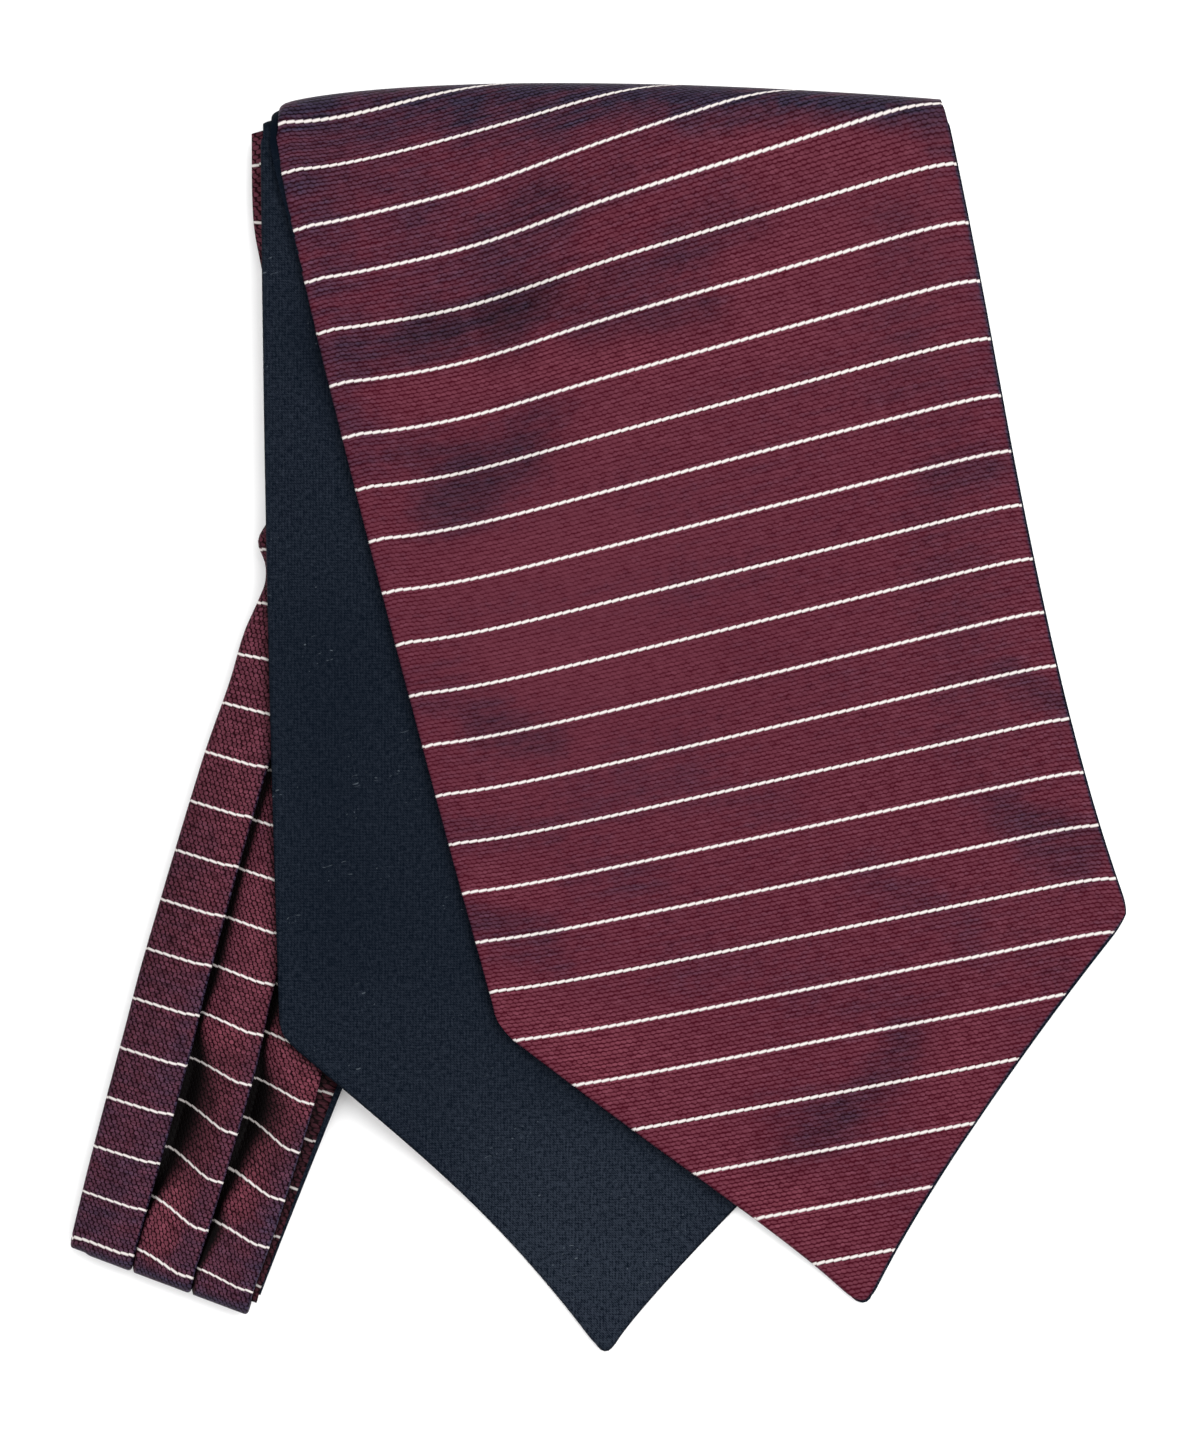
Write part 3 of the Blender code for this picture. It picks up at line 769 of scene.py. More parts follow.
def blade_grid(blade, form, creases, weave, under, depth, returned=0.0, corner=0.0, inset=0.0):
    """One layer of a blade with its turn over the top fold.

    form gives the height of the blade's underside, and weave the places on the cloth for points of the flat
    layer. under is the height of the outer layer below the fold, depth 0 for the outer layer and 1 for the
    inner one, returned the length of cloth below the fold, corner how far the top left corner is pulled out,
    and inset how far inside the blade's edge the layer stays.
    """
    across = blade_columns(abs(blade.fold_right - blade.fold_left), inset)
    length = abs(blade_plan(blade, across, 1.0) - blade_plan(blade, across, 0.0))
    outer_top = form(blade_plan(blade, across, BACK_LIFT / length)) + LAYER + LAYER_WALL / 2
    outer_turn = (outer_top - under) / 2
    crest = outer_turn + LAYER_WALL / 2
    turn = outer_turn - depth * LAYER

    edge_rows = 1.0 - np.array(EDGE_STEPS)[::-1] / (length.mean() * TIP_SLANT)
    face = np.concatenate([np.linspace(0.0, edge_rows[0], BLADE_ROWS)[:-1], edge_rows])[:, None]
    down = crest / length + (1.0 - (crest + inset) / length) * face
    plan = rounded_corners(blade, blade_plan(blade, across, down), across, down * length - crest,
                           (1.0 - down) * length)
    narrowed = 1.0 - ease(face / LINING_CORNER_REACH)
    plan = plan + corner * (1.0 - across) ** LINING_CORNER_POWER * narrowed
    height = form(plan) + LAYER_WALL / 2 + (1 - depth) * LAYER
    flat = plan

    way = unit(blade_plan(blade, across, 0.0) - blade_plan(blade, across, crest / length))
    centre = plan[:1]
    angle = TURN_ANGLES[:, None]
    plan = np.concatenate([centre + way * turn * np.cos(angle), plan])
    height = np.concatenate([under + outer_turn + turn * np.sin(angle), height])
    flat = np.concatenate([centre + way * turn * (math.pi / 2 - angle), flat])
    if returned:
        back = return_rows(returned)[:, None]
        plan = np.concatenate([centre - way * back, plan])
        height = np.concatenate([np.broadcast_to(under + depth * LAYER, back.shape) + 0.0 * turn, height])
        flat = np.concatenate([centre + way * (math.pi * turn + back), flat])

    face_rows = slice(len(height) - len(face), None)
    height[face_rows] -= (1 - 2 * depth) * edge_fall(blade, plan)[face_rows]
    _, tone, shade = creased(creases, plan)
    return Layer(plan, height, weave(flat), tone, shade, crispness(plan))


def round_edge(edge, side, first, second, pleat, steps=8):
    """Points round a fold of the silk at an edge, from one level to the next: side is 1 right, -1 left."""
    turn = LAYER / 2
    centre = edge - side * (turn + LAYER_WALL / 2)
    angles = math.pi * (0.5 - np.arange(steps + 1) / steps)
    middle, half = (first + second) / 2, (first - second) / 2
    return [(centre + side * turn * math.cos(angle), middle + half * math.sin(angle), pleat, 1.0)
            for angle in angles]


def flat_points(start, end, level, pleat, steps):
    """Points of a pleat's face from one place to another at one level."""
    return [(start + (end - start) * share, level, pleat, 1.0) for share in np.linspace(0.0, 1.0, steps)]


PLEAT_EDGES = np.cumsum((0.0,) + PLEAT_FACES)
PLEAT_WIDTHS = np.array(PLEAT_FACES + (SLIVER,)) - LAYER


class PleatPoints(NamedTuple):
    """The points of the silk's section across the pressed neckband."""
    distance: np.ndarray  # from the left edge
    level: np.ndarray  # in layers
    pleat: np.ndarray  # which pleat a point is on, and one more beyond the last
    rise: np.ndarray  # how far up the rise at the pleat's left side it is, and 1 past that

    def upper(self):
        """Whether points are on a pleat's uppermost layer."""
        return self.level > PLEAT_LAYERS - 1.5

    def past_hem(self):
        """Whether points are past the rise above the hem."""
        return self.distance > HEM_RISE + HEM_RISE_WIDTH

    def from_left(self):
        """How far points are from their pleat's left side."""
        return self.distance - PLEAT_EDGES[self.pleat.astype(int)]

    def near_right(self, width):
        """1 at a pleat's right edge, easing to 0 over a width."""
        from_right = PLEAT_WIDTHS[self.pleat.astype(int)] - self.from_left()
        return ease(1.0 - from_right / width) * (self.pleat < len(PLEAT_FACES))

    def tucked(self, station):
        """The stripes' rise, the sink, the painted black shadow's width and the painted shade that the table
        of tucks gives.
        """
        tucks = through(TUCKS, station[:, 0]).real.T[1:, :, None]
        return (tucks[index] * (self.pleat == 1) + tucks[index + 1] * (self.pleat == 2)
                for index in range(0, len(tucks), 2))


def pleat_section():
    """The silk's section across the pressed neckband."""
    top = PLEAT_LAYERS - 1.0
    fold = PLEAT_FACES[0]
    points = [(HEM, 0.0, 0, 1.0)] + round_edge(0.0, -1, 0.0, 1.0, 0)[:-1]
    points += [(HEM_RISE * share, 1.0 + (HEM_RISE_LEVEL - 1.0) * share, 0, 1.0) for share in (0.35, 0.7, 1.0)]
    points += [(HEM_RISE + HEM_RISE_WIDTH * share,
                HEM_RISE_LEVEL + (top - HEM_RISE_LEVEL) * float(ease(share)), 0, 1.0)
               for share in (0.25, 0.5, 0.75, 1.0)]
    for pleat in range(len(PLEAT_FACES)):
        points += flat_points(points[-1][0], fold - LAYER, top, pleat, 9)[1:-1]
        points += round_edge(fold, 1, top, top - 1.0, pleat)
        points += round_edge(fold - UNDERLAP, -1, 1.0, 0.0, pleat)
        start = fold - LAYER_WALL / 2
        if pleat + 1 < len(PLEAT_FACES):
            fold += PLEAT_FACES[pleat + 1]
            end = fold - UNDERLAP - LAYER_GAP
            points += [(start + (end - start) * share, top * float(ease(share)), pleat + 1, share)
                       for share in np.linspace(0.0, 1.0, 18)]
    points += [(place, 0.0, len(PLEAT_FACES), 1.0) for place in (start, fold + SLIVER / 2, fold + SLIVER)]
    return PleatPoints(*(values[None, :] for values in np.array(points).T))


def run_at(station):
    """The neckband's left and right edges, its width, its pleats' width and their opening, up its run."""
    _, left, right, pleats, opening = through(SECTIONS, station[:, 0]).T[:, :, None]
    return left, right, abs(right - left), pleats.real, opening.real


def pleat_look(points, station, opening, plan, on_top, tone, shade):
    """The painted tone and shade of the neckband's silk, from those that its creases give."""
    distance, _, pleat, rise = points
    first, second, third, beyond = (pleat == number for number in range(len(PLEAT_FACES) + 1))
    tones = through(PLEAT_TONES, station[:, 0]).real.T[1:, :, None]
    # painted sheen: a navy band along each pleat's right edge, where the painted shade is also lifted
    rim = points.near_right(RIM_WIDTH)
    tone = tone + tones[0] * first + tones[1] * second + tones[2] * third + RIM_TONE * rim
    # painted shadow: black beside each pleat's left side under the pleat before, then painted shade on the
    # face
    _, _, dark, face_shade = points.tucked(station)
    dark = dark + SLIVER_BLACK * beyond
    beside = np.where(beyond, distance - PLEAT_EDGES[-1] + SLIVER_BLACK_START, points.from_left())
    black = 1.0 - ease((beside - BLACK_START * dark) / np.maximum(BLACK_FADE * dark, BLACK_FADE_LEAST))
    haze = face_shade * ease((FACE_SHADE_END - beside) / (FACE_SHADE_END - FACE_SHADE_START))
    # painted shade on the silk hidden inside the pleats
    hidden = ~points.upper() & (rise == 1.0) & ~beyond & points.past_hem()
    # painted shadow that the back blade's edge casts on the neckband
    blade_shadow = BLADE_SHADE * ease(1.0 - distance_to(BACK_OUTLINE, plan) / BLADE_SHADE_WIDTH) * on_top
    # painted shade of the first pleat's rounded face, darker at its left side
    rounding = np.clip(points.from_left() / PLEAT_WIDTHS[0], 0.0, 1.0)
    rounding = 1.0 + PLEAT_ROUND * (1.0 - 2.0 * rounding)
    lit = (1.0 - shade) * (1.0 - np.where(first, tones[3] * rounding, tones[4] * (1.0 - rim)))
    lit = lit * (1.0 - haze) * (1.0 - blade_shadow)
    lit = lit * (1.0 - black * ~first * (1.0 - ease(opening * BLACK_OPENING)))
    lit = lit * (1.0 - SLIVER_SHADE * beyond) * (1.0 - HIDDEN_SHADE * hidden)
    # the painted shade also turns the other pleats redder
    return tone - SHADE_RED * (1.0 - lit) * ~first, 1.0 - lit


def neck_silk_grid():
    """The neckband's silk: knife pleats that fan out towards the top."""
    points = pleat_section()
    distance, level, pleat, rise = points
    steps = np.hypot(np.diff(distance), np.diff(level) * LAYER)
    spread = np.concatenate([[[0.0]], np.cumsum(steps, axis=1)], axis=1) / steps.sum()
    top = SECTIONS[-1].along
    run, back = np.linspace(0.0, top, NECK_ROWS), return_rows(NECK_RETURN)
    station = np.concatenate([back, 0.0 * TURN_ANGLES, run])[:, None]
    turned = np.concatenate([0.0 * back - math.pi / 2, TURN_ANGLES, 0.0 * run + math.pi / 2])[:, None]

    # across the band: pressed pleats that spread out over its whole width
    left, right, width, pleats, opening = run_at(station)
    pressed = distance * pleats / sum(PLEAT_FACES)
    pressed[:, -1:] = np.maximum(width, pleats + SLIVER)
    pressed[:, -2:-1] = (pressed[:, -1:] + pressed[:, -3:-2]) / 2
    placed = pressed + (spread * width - pressed) * ease(opening)

    # heights, with the left sides of the pleats drawn in
    pull, sunk, _, _ = points.tucked(station)
    drawn = (1.0 - ease(points.from_left() / TUCK_WIDTH)) * ((rise < 1.0) | points.upper())
    sink = sunk * drawn * np.minimum(rise / SINK_START, 1.0)
    fill = 1.0 + FOLD_FILL * ease(1.0 - station / FOLD_FILL_REACH)
    risen = (PLEAT_LAYERS - 1.0) * ease(rise * fill)
    height = np.where(rise < 1.0, risen, level + 0.0 * station) - sink / LAYER
    wave = FAN_WAVE * (1.0 - np.cos(2.0 * math.pi * len(PLEAT_FACES) * spread))
    height = height + (wave - height) * ease(2.0 * opening - 1.0)

    # the left edge, the top left corner and the turn round the lower fold
    left = left - BULGE * np.exp(-((station - BULGE_ALONG) / BULGE_REACH) ** 2)
    near_top = ease((station - top) / CORNER_LIFT_REACH + 1.0)
    corner = 1j * CORNER_LIFT * np.exp(-placed / CORNER_LIFT_WIDTH) * near_top
    corner = corner * (1.0 - CORNER_DROP * np.exp(-placed / CORNER_DROP_WIDTH))
    radius = (1.0 + height) * LAYER
    above_hem = ease(2.0 * level - 1.0) * (distance < HEM_RISE + HEM_RISE_WIDTH) * (pleat == 0)
    reach = TURN_REACH * (radius + np.maximum((1.0 + HEM_REACH_LEVEL) * LAYER - radius, 0.0) * above_hem)
    way = unit(SECTIONS[0].left - SECTIONS[1].left)
    plan = left + (right - left) * placed / width + corner + way * reach * np.cos(turned)
    lift, tone, shade = creased(NECK_CREASES, plan)
    on_top = (turned == math.pi / 2) & ((rise > 0.0) | points.upper())
    height = NECK_AXIS + radius * np.sin(turned) + lift * on_top

    # the stripes
    pull = pull * drawn + SLIVER_RISE * (pleat == len(PLEAT_FACES))
    pull = pull + LAST_RISE * np.exp(-station / LAST_RISE_REACH) * (pleat == len(PLEAT_FACES) - 1)
    pull = pull + EDGE_LIFT * points.near_right(EDGE_LIFT_WIDTH)
    along = station * np.where(turned < 0.0, -1.0, 1.0) - radius * (math.pi / 2 - turned)
    stripe = neck_stripe(along) - pull / NECK_PITCH
    tone, shade = pleat_look(points, station, opening, plan, on_top, tone, shade)
    weave = (spread * steps.sum() + 0.0 * along, stripe * STRIPE_PITCH)
    return Layer(plan, height, weave, tone, shade, np.ones(plan.shape))


def plain_layer(plan, height, weave):
    """A layer whose cloth looks the same all over."""
    none = 0.0 * height
    return Layer(plan, height, weave, none, none, none + 1.0)


def neck_lining_grid():
    """The neckband's lining, flat between its two runs."""
    station = np.linspace(0.0, SECTIONS[-1].along, NECK_ROWS)[:, None]
    left, right, width, _, opening = run_at(station)
    show = LINING_SHOW * (LINING_SHOW_FOLD + LINING_SHOW_GAIN * ease(station / LINING_SHOW_REACH))
    show = show * (1.0 - ease(2.0 * opening))
    placed = HIDDEN_INSET + (width + show - HIDDEN_INSET) * np.linspace(0.0, 1.0, LINING_COLUMNS + 1)[None, :]
    plan = left + (right - left) * placed / width
    return plain_layer(plan, NECK_AXIS + 0.0 * placed, (placed, station + 0.0 * placed))


def hidden_grid():
    """The lower run and the front blade's root: a closed body whose sides show its three layers of silk."""
    side = []
    for layer in range(PLEAT_LAYERS):
        middle = layer * LAYER + LAYER_WALL / 2
        for angle in np.linspace(-0.5, 0.5, HIDDEN_ROUND) * math.pi:
            side.append((LAYER_WALL / 2 * (1.0 - math.cos(angle)), middle + LAYER_WALL / 2 * math.sin(angle)))
        if layer < PLEAT_LAYERS - 1:
            side.append((HIDDEN_GROOVE, middle + LAYER / 2))
    inset, rise = np.array(side).T[:, None, :]
    across = np.linspace(0.0, 1.0, HIDDEN_COLUMNS)[None, 1:-1]
    start, end = NECK_RETURN + 2 * LAYER_GAP, SECTIONS[-1].along - HIDDEN_TOP_INSET
    station = np.linspace(start, end, NECK_ROWS)[:, None]
    left, right, width, _, _ = run_at(station)
    inner = width - 2 * HIDDEN_INSET
    wave = HIDDEN_WAVE * np.sin(station / HIDDEN_WAVE_LENGTH + inset + rise * HIDDEN_WAVE_SHIFT)
    right_side = width - HIDDEN_INSET - inset + wave - HIDDEN_EDGE_INSET
    left_side = HIDDEN_INSET + inset[:, ::-1] + wave[:, ::-1] + HIDDEN_EDGE_INSET
    placed = np.concatenate([right_side, HIDDEN_INSET + inner * (1.0 - across), left_side,
                             HIDDEN_INSET + inner * across, right_side[:, :1]], axis=1)
    level = np.concatenate([rise, rise[:, -1:] + 0.0 * across, rise[:, ::-1],
                            0.0 * across, rise[:, :1]], axis=1) + 0.0 * placed
    plan = left + (right - left) * placed / width
    return plain_layer(plan, level, (placed, neck_stripe(station + 0.0 * placed) * STRIPE_PITCH))


# ---- meshes

def new_piece(name, work, material):
    """A smooth object made of a bmesh, at the origin."""
    mesh = bpy.data.meshes.new(name)
    work.to_mesh(mesh)
    work.free()
    mesh.shade_smooth()
    mesh.materials.append(material)
    piece = bpy.data.objects.new(name, mesh)
    bpy.context.scene.collection.objects.link(piece)
    return piece


def cloth_piece(name, layer, material, wall=None):
    """A layer of cloth on its grid, as a thin shell of a wall's thickness, or a closed body without one.

    Its UV map holds the weave. Its attribute tone is painted sheen, how navy the shot silk looks, from -1 for
    redder as if lit to 1; shade is painted shade, how far the colour is darkened towards near-black; and
    crisp how clearly its weave shows.
    """
    rows, columns = layer.height.shape
    work = bmesh.new()
    bmesh.ops.create_grid(work, x_segments=columns - 1, y_segments=rows - 1, size=0.5)
    corners = np.array([vert.co[:2] for vert in work.verts]) + 0.5
    column, row = np.rint(corners * (columns - 1, rows - 1)).astype(int).T
    points = np.stack([layer.plan.real, layer.plan.imag, layer.height], axis=-1)[row, column] * MM
    places = np.stack(layer.weave, axis=-1)[row, column] * MM
    for vert, point in zip(work.verts, points):
        vert.co = point
    work.normal_update()
    if wall and sum(face.normal.z * face.calc_area() for face in work.faces) < 0.0:
        bmesh.ops.reverse_faces(work, faces=work.faces)
        work.normal_update()
    uv = work.loops.layers.uv.new("weave")
    for face in work.faces:
        for loop in face.loops:
            loop[uv].uv = places[loop.vert.index]

    # painted sheen: sloping cloth, most where it faces right, is toned navy as silk turned from the light
    lean_x, lean_y = np.array([vert.normal[:2] for vert in work.verts]).T
    tilt = np.hypot(lean_x, lean_y)
    turned_right = TILT_LEFT + (1.0 - TILT_LEFT) * ease(1.0 + lean_x / np.maximum(tilt, LEVEL_TILT))
    tone = layer.tone[row, column] + turned_right * ease((tilt - TILT_START) / TILT_SPAN)
    for look, values in (("tone", np.clip(tone, -1.0, 1.0)), ("shade", layer.shade[row, column]),
                          ("crisp", layer.crisp[row, column])):
        held = work.verts.layers.float.new(look)
        for vert, value in zip(work.verts, values):
            vert[held] = value
    if wall:
        piece = new_piece(name, work, material)
        solidify = piece.modifiers.new("wall", "SOLIDIFY")
        solidify.thickness = wall
        solidify.offset = 0.0
        return piece
    bmesh.ops.remove_doubles(work, verts=work.verts, dist=WELD * MM)
    bmesh.ops.holes_fill(work, edges=[edge for edge in work.edges if edge.is_boundary])
    bmesh.ops.recalc_face_normals(work, faces=work.faces)
    return new_piece(name, work, material)


# ---- shader maths

class Socket:
    """A shader socket. Arithmetic on it adds Math nodes."""

    def __init__(self, shader, source):
        self.shader = shader
        self.source = source

    def math(self, operation, *values):
        """The first output of a Math node on these values."""
        return self.shader.node("ShaderNodeMath", {"operation": operation}, dict(enumerate(values)))[0]

    def __add__(self, other):
        return self.math("ADD", self, other)

    def __sub__(self, other):
        return self.math("SUBTRACT", self, other)

    def __rsub__(self, other):
        return self.math("SUBTRACT", other, self)

    def __mul__(self, other):
        return self.math("MULTIPLY", self, other)

    def __truediv__(self, other):
        return self.math("DIVIDE", self, other)

    def __pow__(self, other):
        return self.math("POWER", self, other)

    def __abs__(self):
        return self.math("ABSOLUTE", self)

    __radd__ = __add__
    __rmul__ = __mul__

    def part(self):
        """The fraction after the whole number."""
        return self.math("FRACT", self)

    def whole(self):
        """The whole number below."""
        return self.math("FLOOR", self)

    def between(self, low, high):
        """0 at low, 1 at high, and a smooth rise between; low may be the larger."""
        settings = {"interpolation_type": "SMOOTHSTEP", "clamp": True}
        return self.shader.node("ShaderNodeMapRange", settings, {0: self, 1: low, 2: high})[0]


class Shader:
    """The nodes of one material, around its Principled BSDF."""

    def __init__(self, name):
        self.material = bpy.data.materials.new(name)
        self.material.use_nodes = True
        self.tree = self.material.node_tree
        self.surface = self.tree.nodes["Principled BSDF"]

    def set(self, socket, value):
        """Links a socket to another, or gives it a value."""
        if isinstance(value, Socket):
            self.tree.links.new(value.source, socket)
        elif hasattr(value, "__len__") and len(value) == 3 and socket.type == "RGBA":
            socket.default_value = (*value, 1.0)
        else:
            socket.default_value = value

    def node(self, kind, settings, values):
        """A node of a type with its settings and the values of its inputs; gives its outputs."""
        made = self.tree.nodes.new(kind)
        for name, value in settings.items():
            setattr(made, name, value)
        for key, value in values.items():
            self.set(made.inputs[key], value)
        return [Socket(self, output) for output in made.outputs]

    def blend(self, share, first, second):
        """A colour a share of the way from one to another."""
        return self.node("ShaderNodeMix", {"data_type": "RGBA", "clamp_factor": True},
                         {"Factor": share, 6: first, 7: second})[2]

    def noise(self, vector, scale, detail=2.0, roughness=0.5):
        """Noise from 0 to 1."""
        return self.node("ShaderNodeTexNoise", {}, {
            "Vector": vector, "Scale": scale, "Detail": detail, "Roughness": roughness})[0]

    def grain(self, kind, u, v):
        """A noise over the cloth, from 0 to 1."""
        along = u if kind.along == 1.0 else u * kind.along
        across = v if kind.across == 1.0 else v * kind.across
        place = self.node("ShaderNodeCombineXYZ", {}, {0: along, 1: across, 2: kind.depth})[0]
        return self.noise(place, kind.scale, kind.detail, kind.roughness)

    def weave(self):
        """The place on the cloth, in metres: u along the stripes and v across them."""
        place = self.node("ShaderNodeUVMap", {"uv_map": "weave"}, {})[0]
        u, v, _ = self.node("ShaderNodeSeparateXYZ", {}, {0: place})
        return u, v

    def attribute(self, name):
        """A number that the mesh holds for each point."""
        return self.node("ShaderNodeAttribute", {"attribute_type": "GEOMETRY", "attribute_name": name}, {})[2]

    def finish(self, colour, roughness, height, depth, **constants):
        """Joins the surface's colour, roughness and relief, and sets what is the same all over."""
        normal = self.node("ShaderNodeBump", {}, {"Strength": 1.0, "Distance": depth, "Height": height})[0]
        self.set(self.surface.inputs["Base Color"], colour)
        self.set(self.surface.inputs["Roughness"], roughness)
        self.set(self.surface.inputs["Normal"], normal)
        for name, value in constants.items():
            self.set(self.surface.inputs[name.replace("_", " ")], value)
        return self.material


class Grain(NamedTuple):
    """A noise over the cloth, and how far it is drawn out along the stripes and across them."""
    scale: float
    detail: float = 2.0
    roughness: float = 0.5
    along: float = 1.0  # 1 is not drawn out, and less is longer
    across: float = 1.0
    depth: float = 0.0  # which slice of the noise it is


class Weave(NamedTuple):
    """The silk's floats, and how uneven its navy tone is."""
    slant: float
    ends: float  # how their ends taper,
    sides: float  # and their sides
    full: float  # where they are full
    middle: float  # height at which their colour is mixed evenly
    contrast: float
    uneven: float


BLADE_WEAVE = Weave(slant=-0.2, ends=1.7, sides=2.7, full=0.9, middle=0.84, contrast=1.35, uneven=1.1)
NECK_WEAVE = Weave(slant=0.15, ends=4.0, sides=2.0, full=0.6, middle=0.86, contrast=1.5, uneven=0.5)
SILK_SHARE = 0.44  # of the floats' colour in the whole
STRAY = 0.7  # how far the weave strays, in rows and in floats

DRIFT = Grain(700.0)
STREAK = Grain(2600.0, along=0.05)
BAND = Grain(420.0, 3.0, 0.6, along=0.09, depth=0.4)
CLOUD = Grain(60.0, 3.0, 0.6, depth=0.3)
FLECK = Grain(420.0, depth=0.6)
DASH = Grain(1000.0, along=0.35, depth=0.8)
TONE_BAND, TONE_CLOUD, TONE_FLECK = 0.6, 0.35, 0.5  # what each adds to the tone
STREAK_SHARE = 0.6  # what the streaks add to the floats' height
CRISP_FLECK = 2.0  # how much the flecks change how clearly the weave shows,
CRISP_SHADE = 1.2  # and how much clearer it is in the painted shade

STRAND_SHIFT = 0.37  # how far the cord's twist is shifted in each next stripe, in turns
STRAND_POWER = 3.0  # how narrow the notch between two strands is,
STRAND_NOTCH = 0.16  # how much narrower the cord is there,
STRAND_SHADE = 0.35  # how much darker it is painted there, as shade in the notch,
STRAND_DIP = 0.2  # and how much lower
CORD_SOFT = 0.15  # softness of the cord's edge, in half widths
CORD_FULL = 0.8  # where across it the cord is full
CORD_DARK = 0.5  # how much of the silk's painted shade the cord takes
FLOAT_RELIEF, CORD_RELIEF = 0.45, 1.4
SILK_ROUGHNESS = 0.52
FLOAT_SHEEN, CORD_MATT = 0.07, 0.12  # what the floats take from that, and the cord adds
SILK_SPECULAR, LINING_SPECULAR, FLOOR_SPECULAR = 0.035, 0.04, 0.1


def striped_silk(sizes, name, row_height, float_length, weave, ground_colour, cord_width):
    """Shot silk: burgundy floats in staggered rows on a navy ground, crossed by a twisted cream cord."""
    shader = Shader(name)
    u, v = shader.weave()
    tone = shader.attribute("tone")
    shade = shader.attribute("shade")
    drift = shader.grain(DRIFT, u, v) - 0.5

    rows = v / row_height + drift * STRAY
    from_row = rows.part() - 0.5
    stagger = rows.whole() * 0.5
    from_float = (u / float_length + stagger + from_row * weave.slant + drift * STRAY).part() - 0.5
    taper = from_float * from_float * weave.ends + from_row * from_row * weave.sides
    float_height = (1.0 - taper).between(0.0, weave.full)

    stripes = v / sizes.stripe_pitch + 0.5
    turn = (u / sizes.cord_turn + stripes.whole() * STRAND_SHIFT).part() - 0.5
    gap = abs(turn * 2.0) ** STRAND_POWER
    off_line = (stripes.part() - 0.5) * sizes.stripe_pitch + turn * sizes.cord_step
    from_cord = abs(off_line) / ((1.0 - gap * STRAND_NOTCH) * (cord_width / 2))
    cord = from_cord.between(1.0 + CORD_SOFT, 1.0 - CORD_SOFT)
    cord_height = (1.0 - from_cord * from_cord).between(0.0, CORD_FULL)

    streak, band, cloud, fleck, dash = (
        shader.grain(kind, u, v) - 0.5 for kind in (STREAK, BAND, CLOUD, FLECK, DASH))
    # the tone attribute is painted sheen and highlight; the noises add the silk's own uneven colour
    shifted_tone = tone * ((band + cloud) * weave.uneven + 1.0)
    shifted_tone = shifted_tone + band * TONE_BAND + cloud * TONE_CLOUD + fleck * TONE_FLECK
    # red_light is a painted highlight; plum and ground_blue are painted sheen of silk turned from the light
    red = shader.blend(shifted_tone * -1.0, sizes.burgundy, sizes.red_light)
    red = shader.blend(shifted_tone, red, sizes.plum)
    ground = shader.blend(shifted_tone, ground_colour, sizes.ground_blue)
    # the weave is made more contrasty where painted shade lies
    crisp = shader.attribute("crisp") * (fleck * CRISP_FLECK + 1.0) * (shade * CRISP_SHADE + 1.0)
    crisp = crisp * weave.contrast
    silk = (float_height - weave.middle + dash + streak * STREAK_SHARE) * crisp + SILK_SHARE
    silk = shader.blend(silk, ground, red)
    # painted shade: the silk is darkened towards near-black by the shade attribute
    silk = shader.blend(shade, silk, sizes.deep)
    # painted shade on the cord: darker at its rounded edges, between its strands, and with the silk's shade
    cream = shader.blend(cord_height * (1.0 - gap * STRAND_SHADE), sizes.cord_shade, sizes.cord)
    colour = shader.blend(cord, silk, shader.blend(shade * CORD_DARK, cream, sizes.deep))

    relief = float_height * FLOAT_RELIEF * (1.0 - cord)
    relief = relief + (cord_height - gap * STRAND_DIP) * cord * CORD_RELIEF
    roughness = SILK_ROUGHNESS - float_height * FLOAT_SHEEN + cord * CORD_MATT
    return shader.finish(colour, roughness, relief, sizes.relief, Specular_IOR_Level=SILK_SPECULAR)


LINING_GRAIN = Grain(1600.0, 3.0, 0.7)
SLUB_ACROSS = Grain(2000.0, across=0.25, depth=0.4)
SLUB_ALONG = Grain(2000.0, along=0.25, depth=0.8)
LINING_CLOUD = Grain(22.0, 3.0, depth=0.7)
THREAD_COUNT = 0.77  # threads up the cloth for each one across it
TWILL_STRAY = 0.3  # how far the twill strays, in its pitch
WEAVE_UNEVEN, GRAIN_UNEVEN, SLUB_UNEVEN, CLOUD_UNEVEN = 3.0, 4.8, 3.4, 0.6
LIGHT_SHARE = 0.285  # of the light threads' colour in the lining,
LIGHT_TONE = 0.5  # and how much of it the tone takes away, painted light and shade from creases and slopes
LINING_ROUGHNESS, TWILL_SHEEN = 0.85, 0.1
LINING_RELIEF = 0.4  # height of the lining's weave, as a share of the silk's
LINT = Grain(1400.0, 0.0, depth=0.9)  # slanting hairs,
LINT_BEND = Grain(140.0, 1.0, depth=0.2)  # a little bent,
LINT_PATCH = Grain(90.0, 0.0, depth=0.5)  # that lie only in places
LINT_FROM, LINT_TO = 0.74, 0.86
PATCH_FROM, PATCH_TO = 0.55, 0.68
LINT_SHARE = 0.5  # of the lint's own colour in a hair


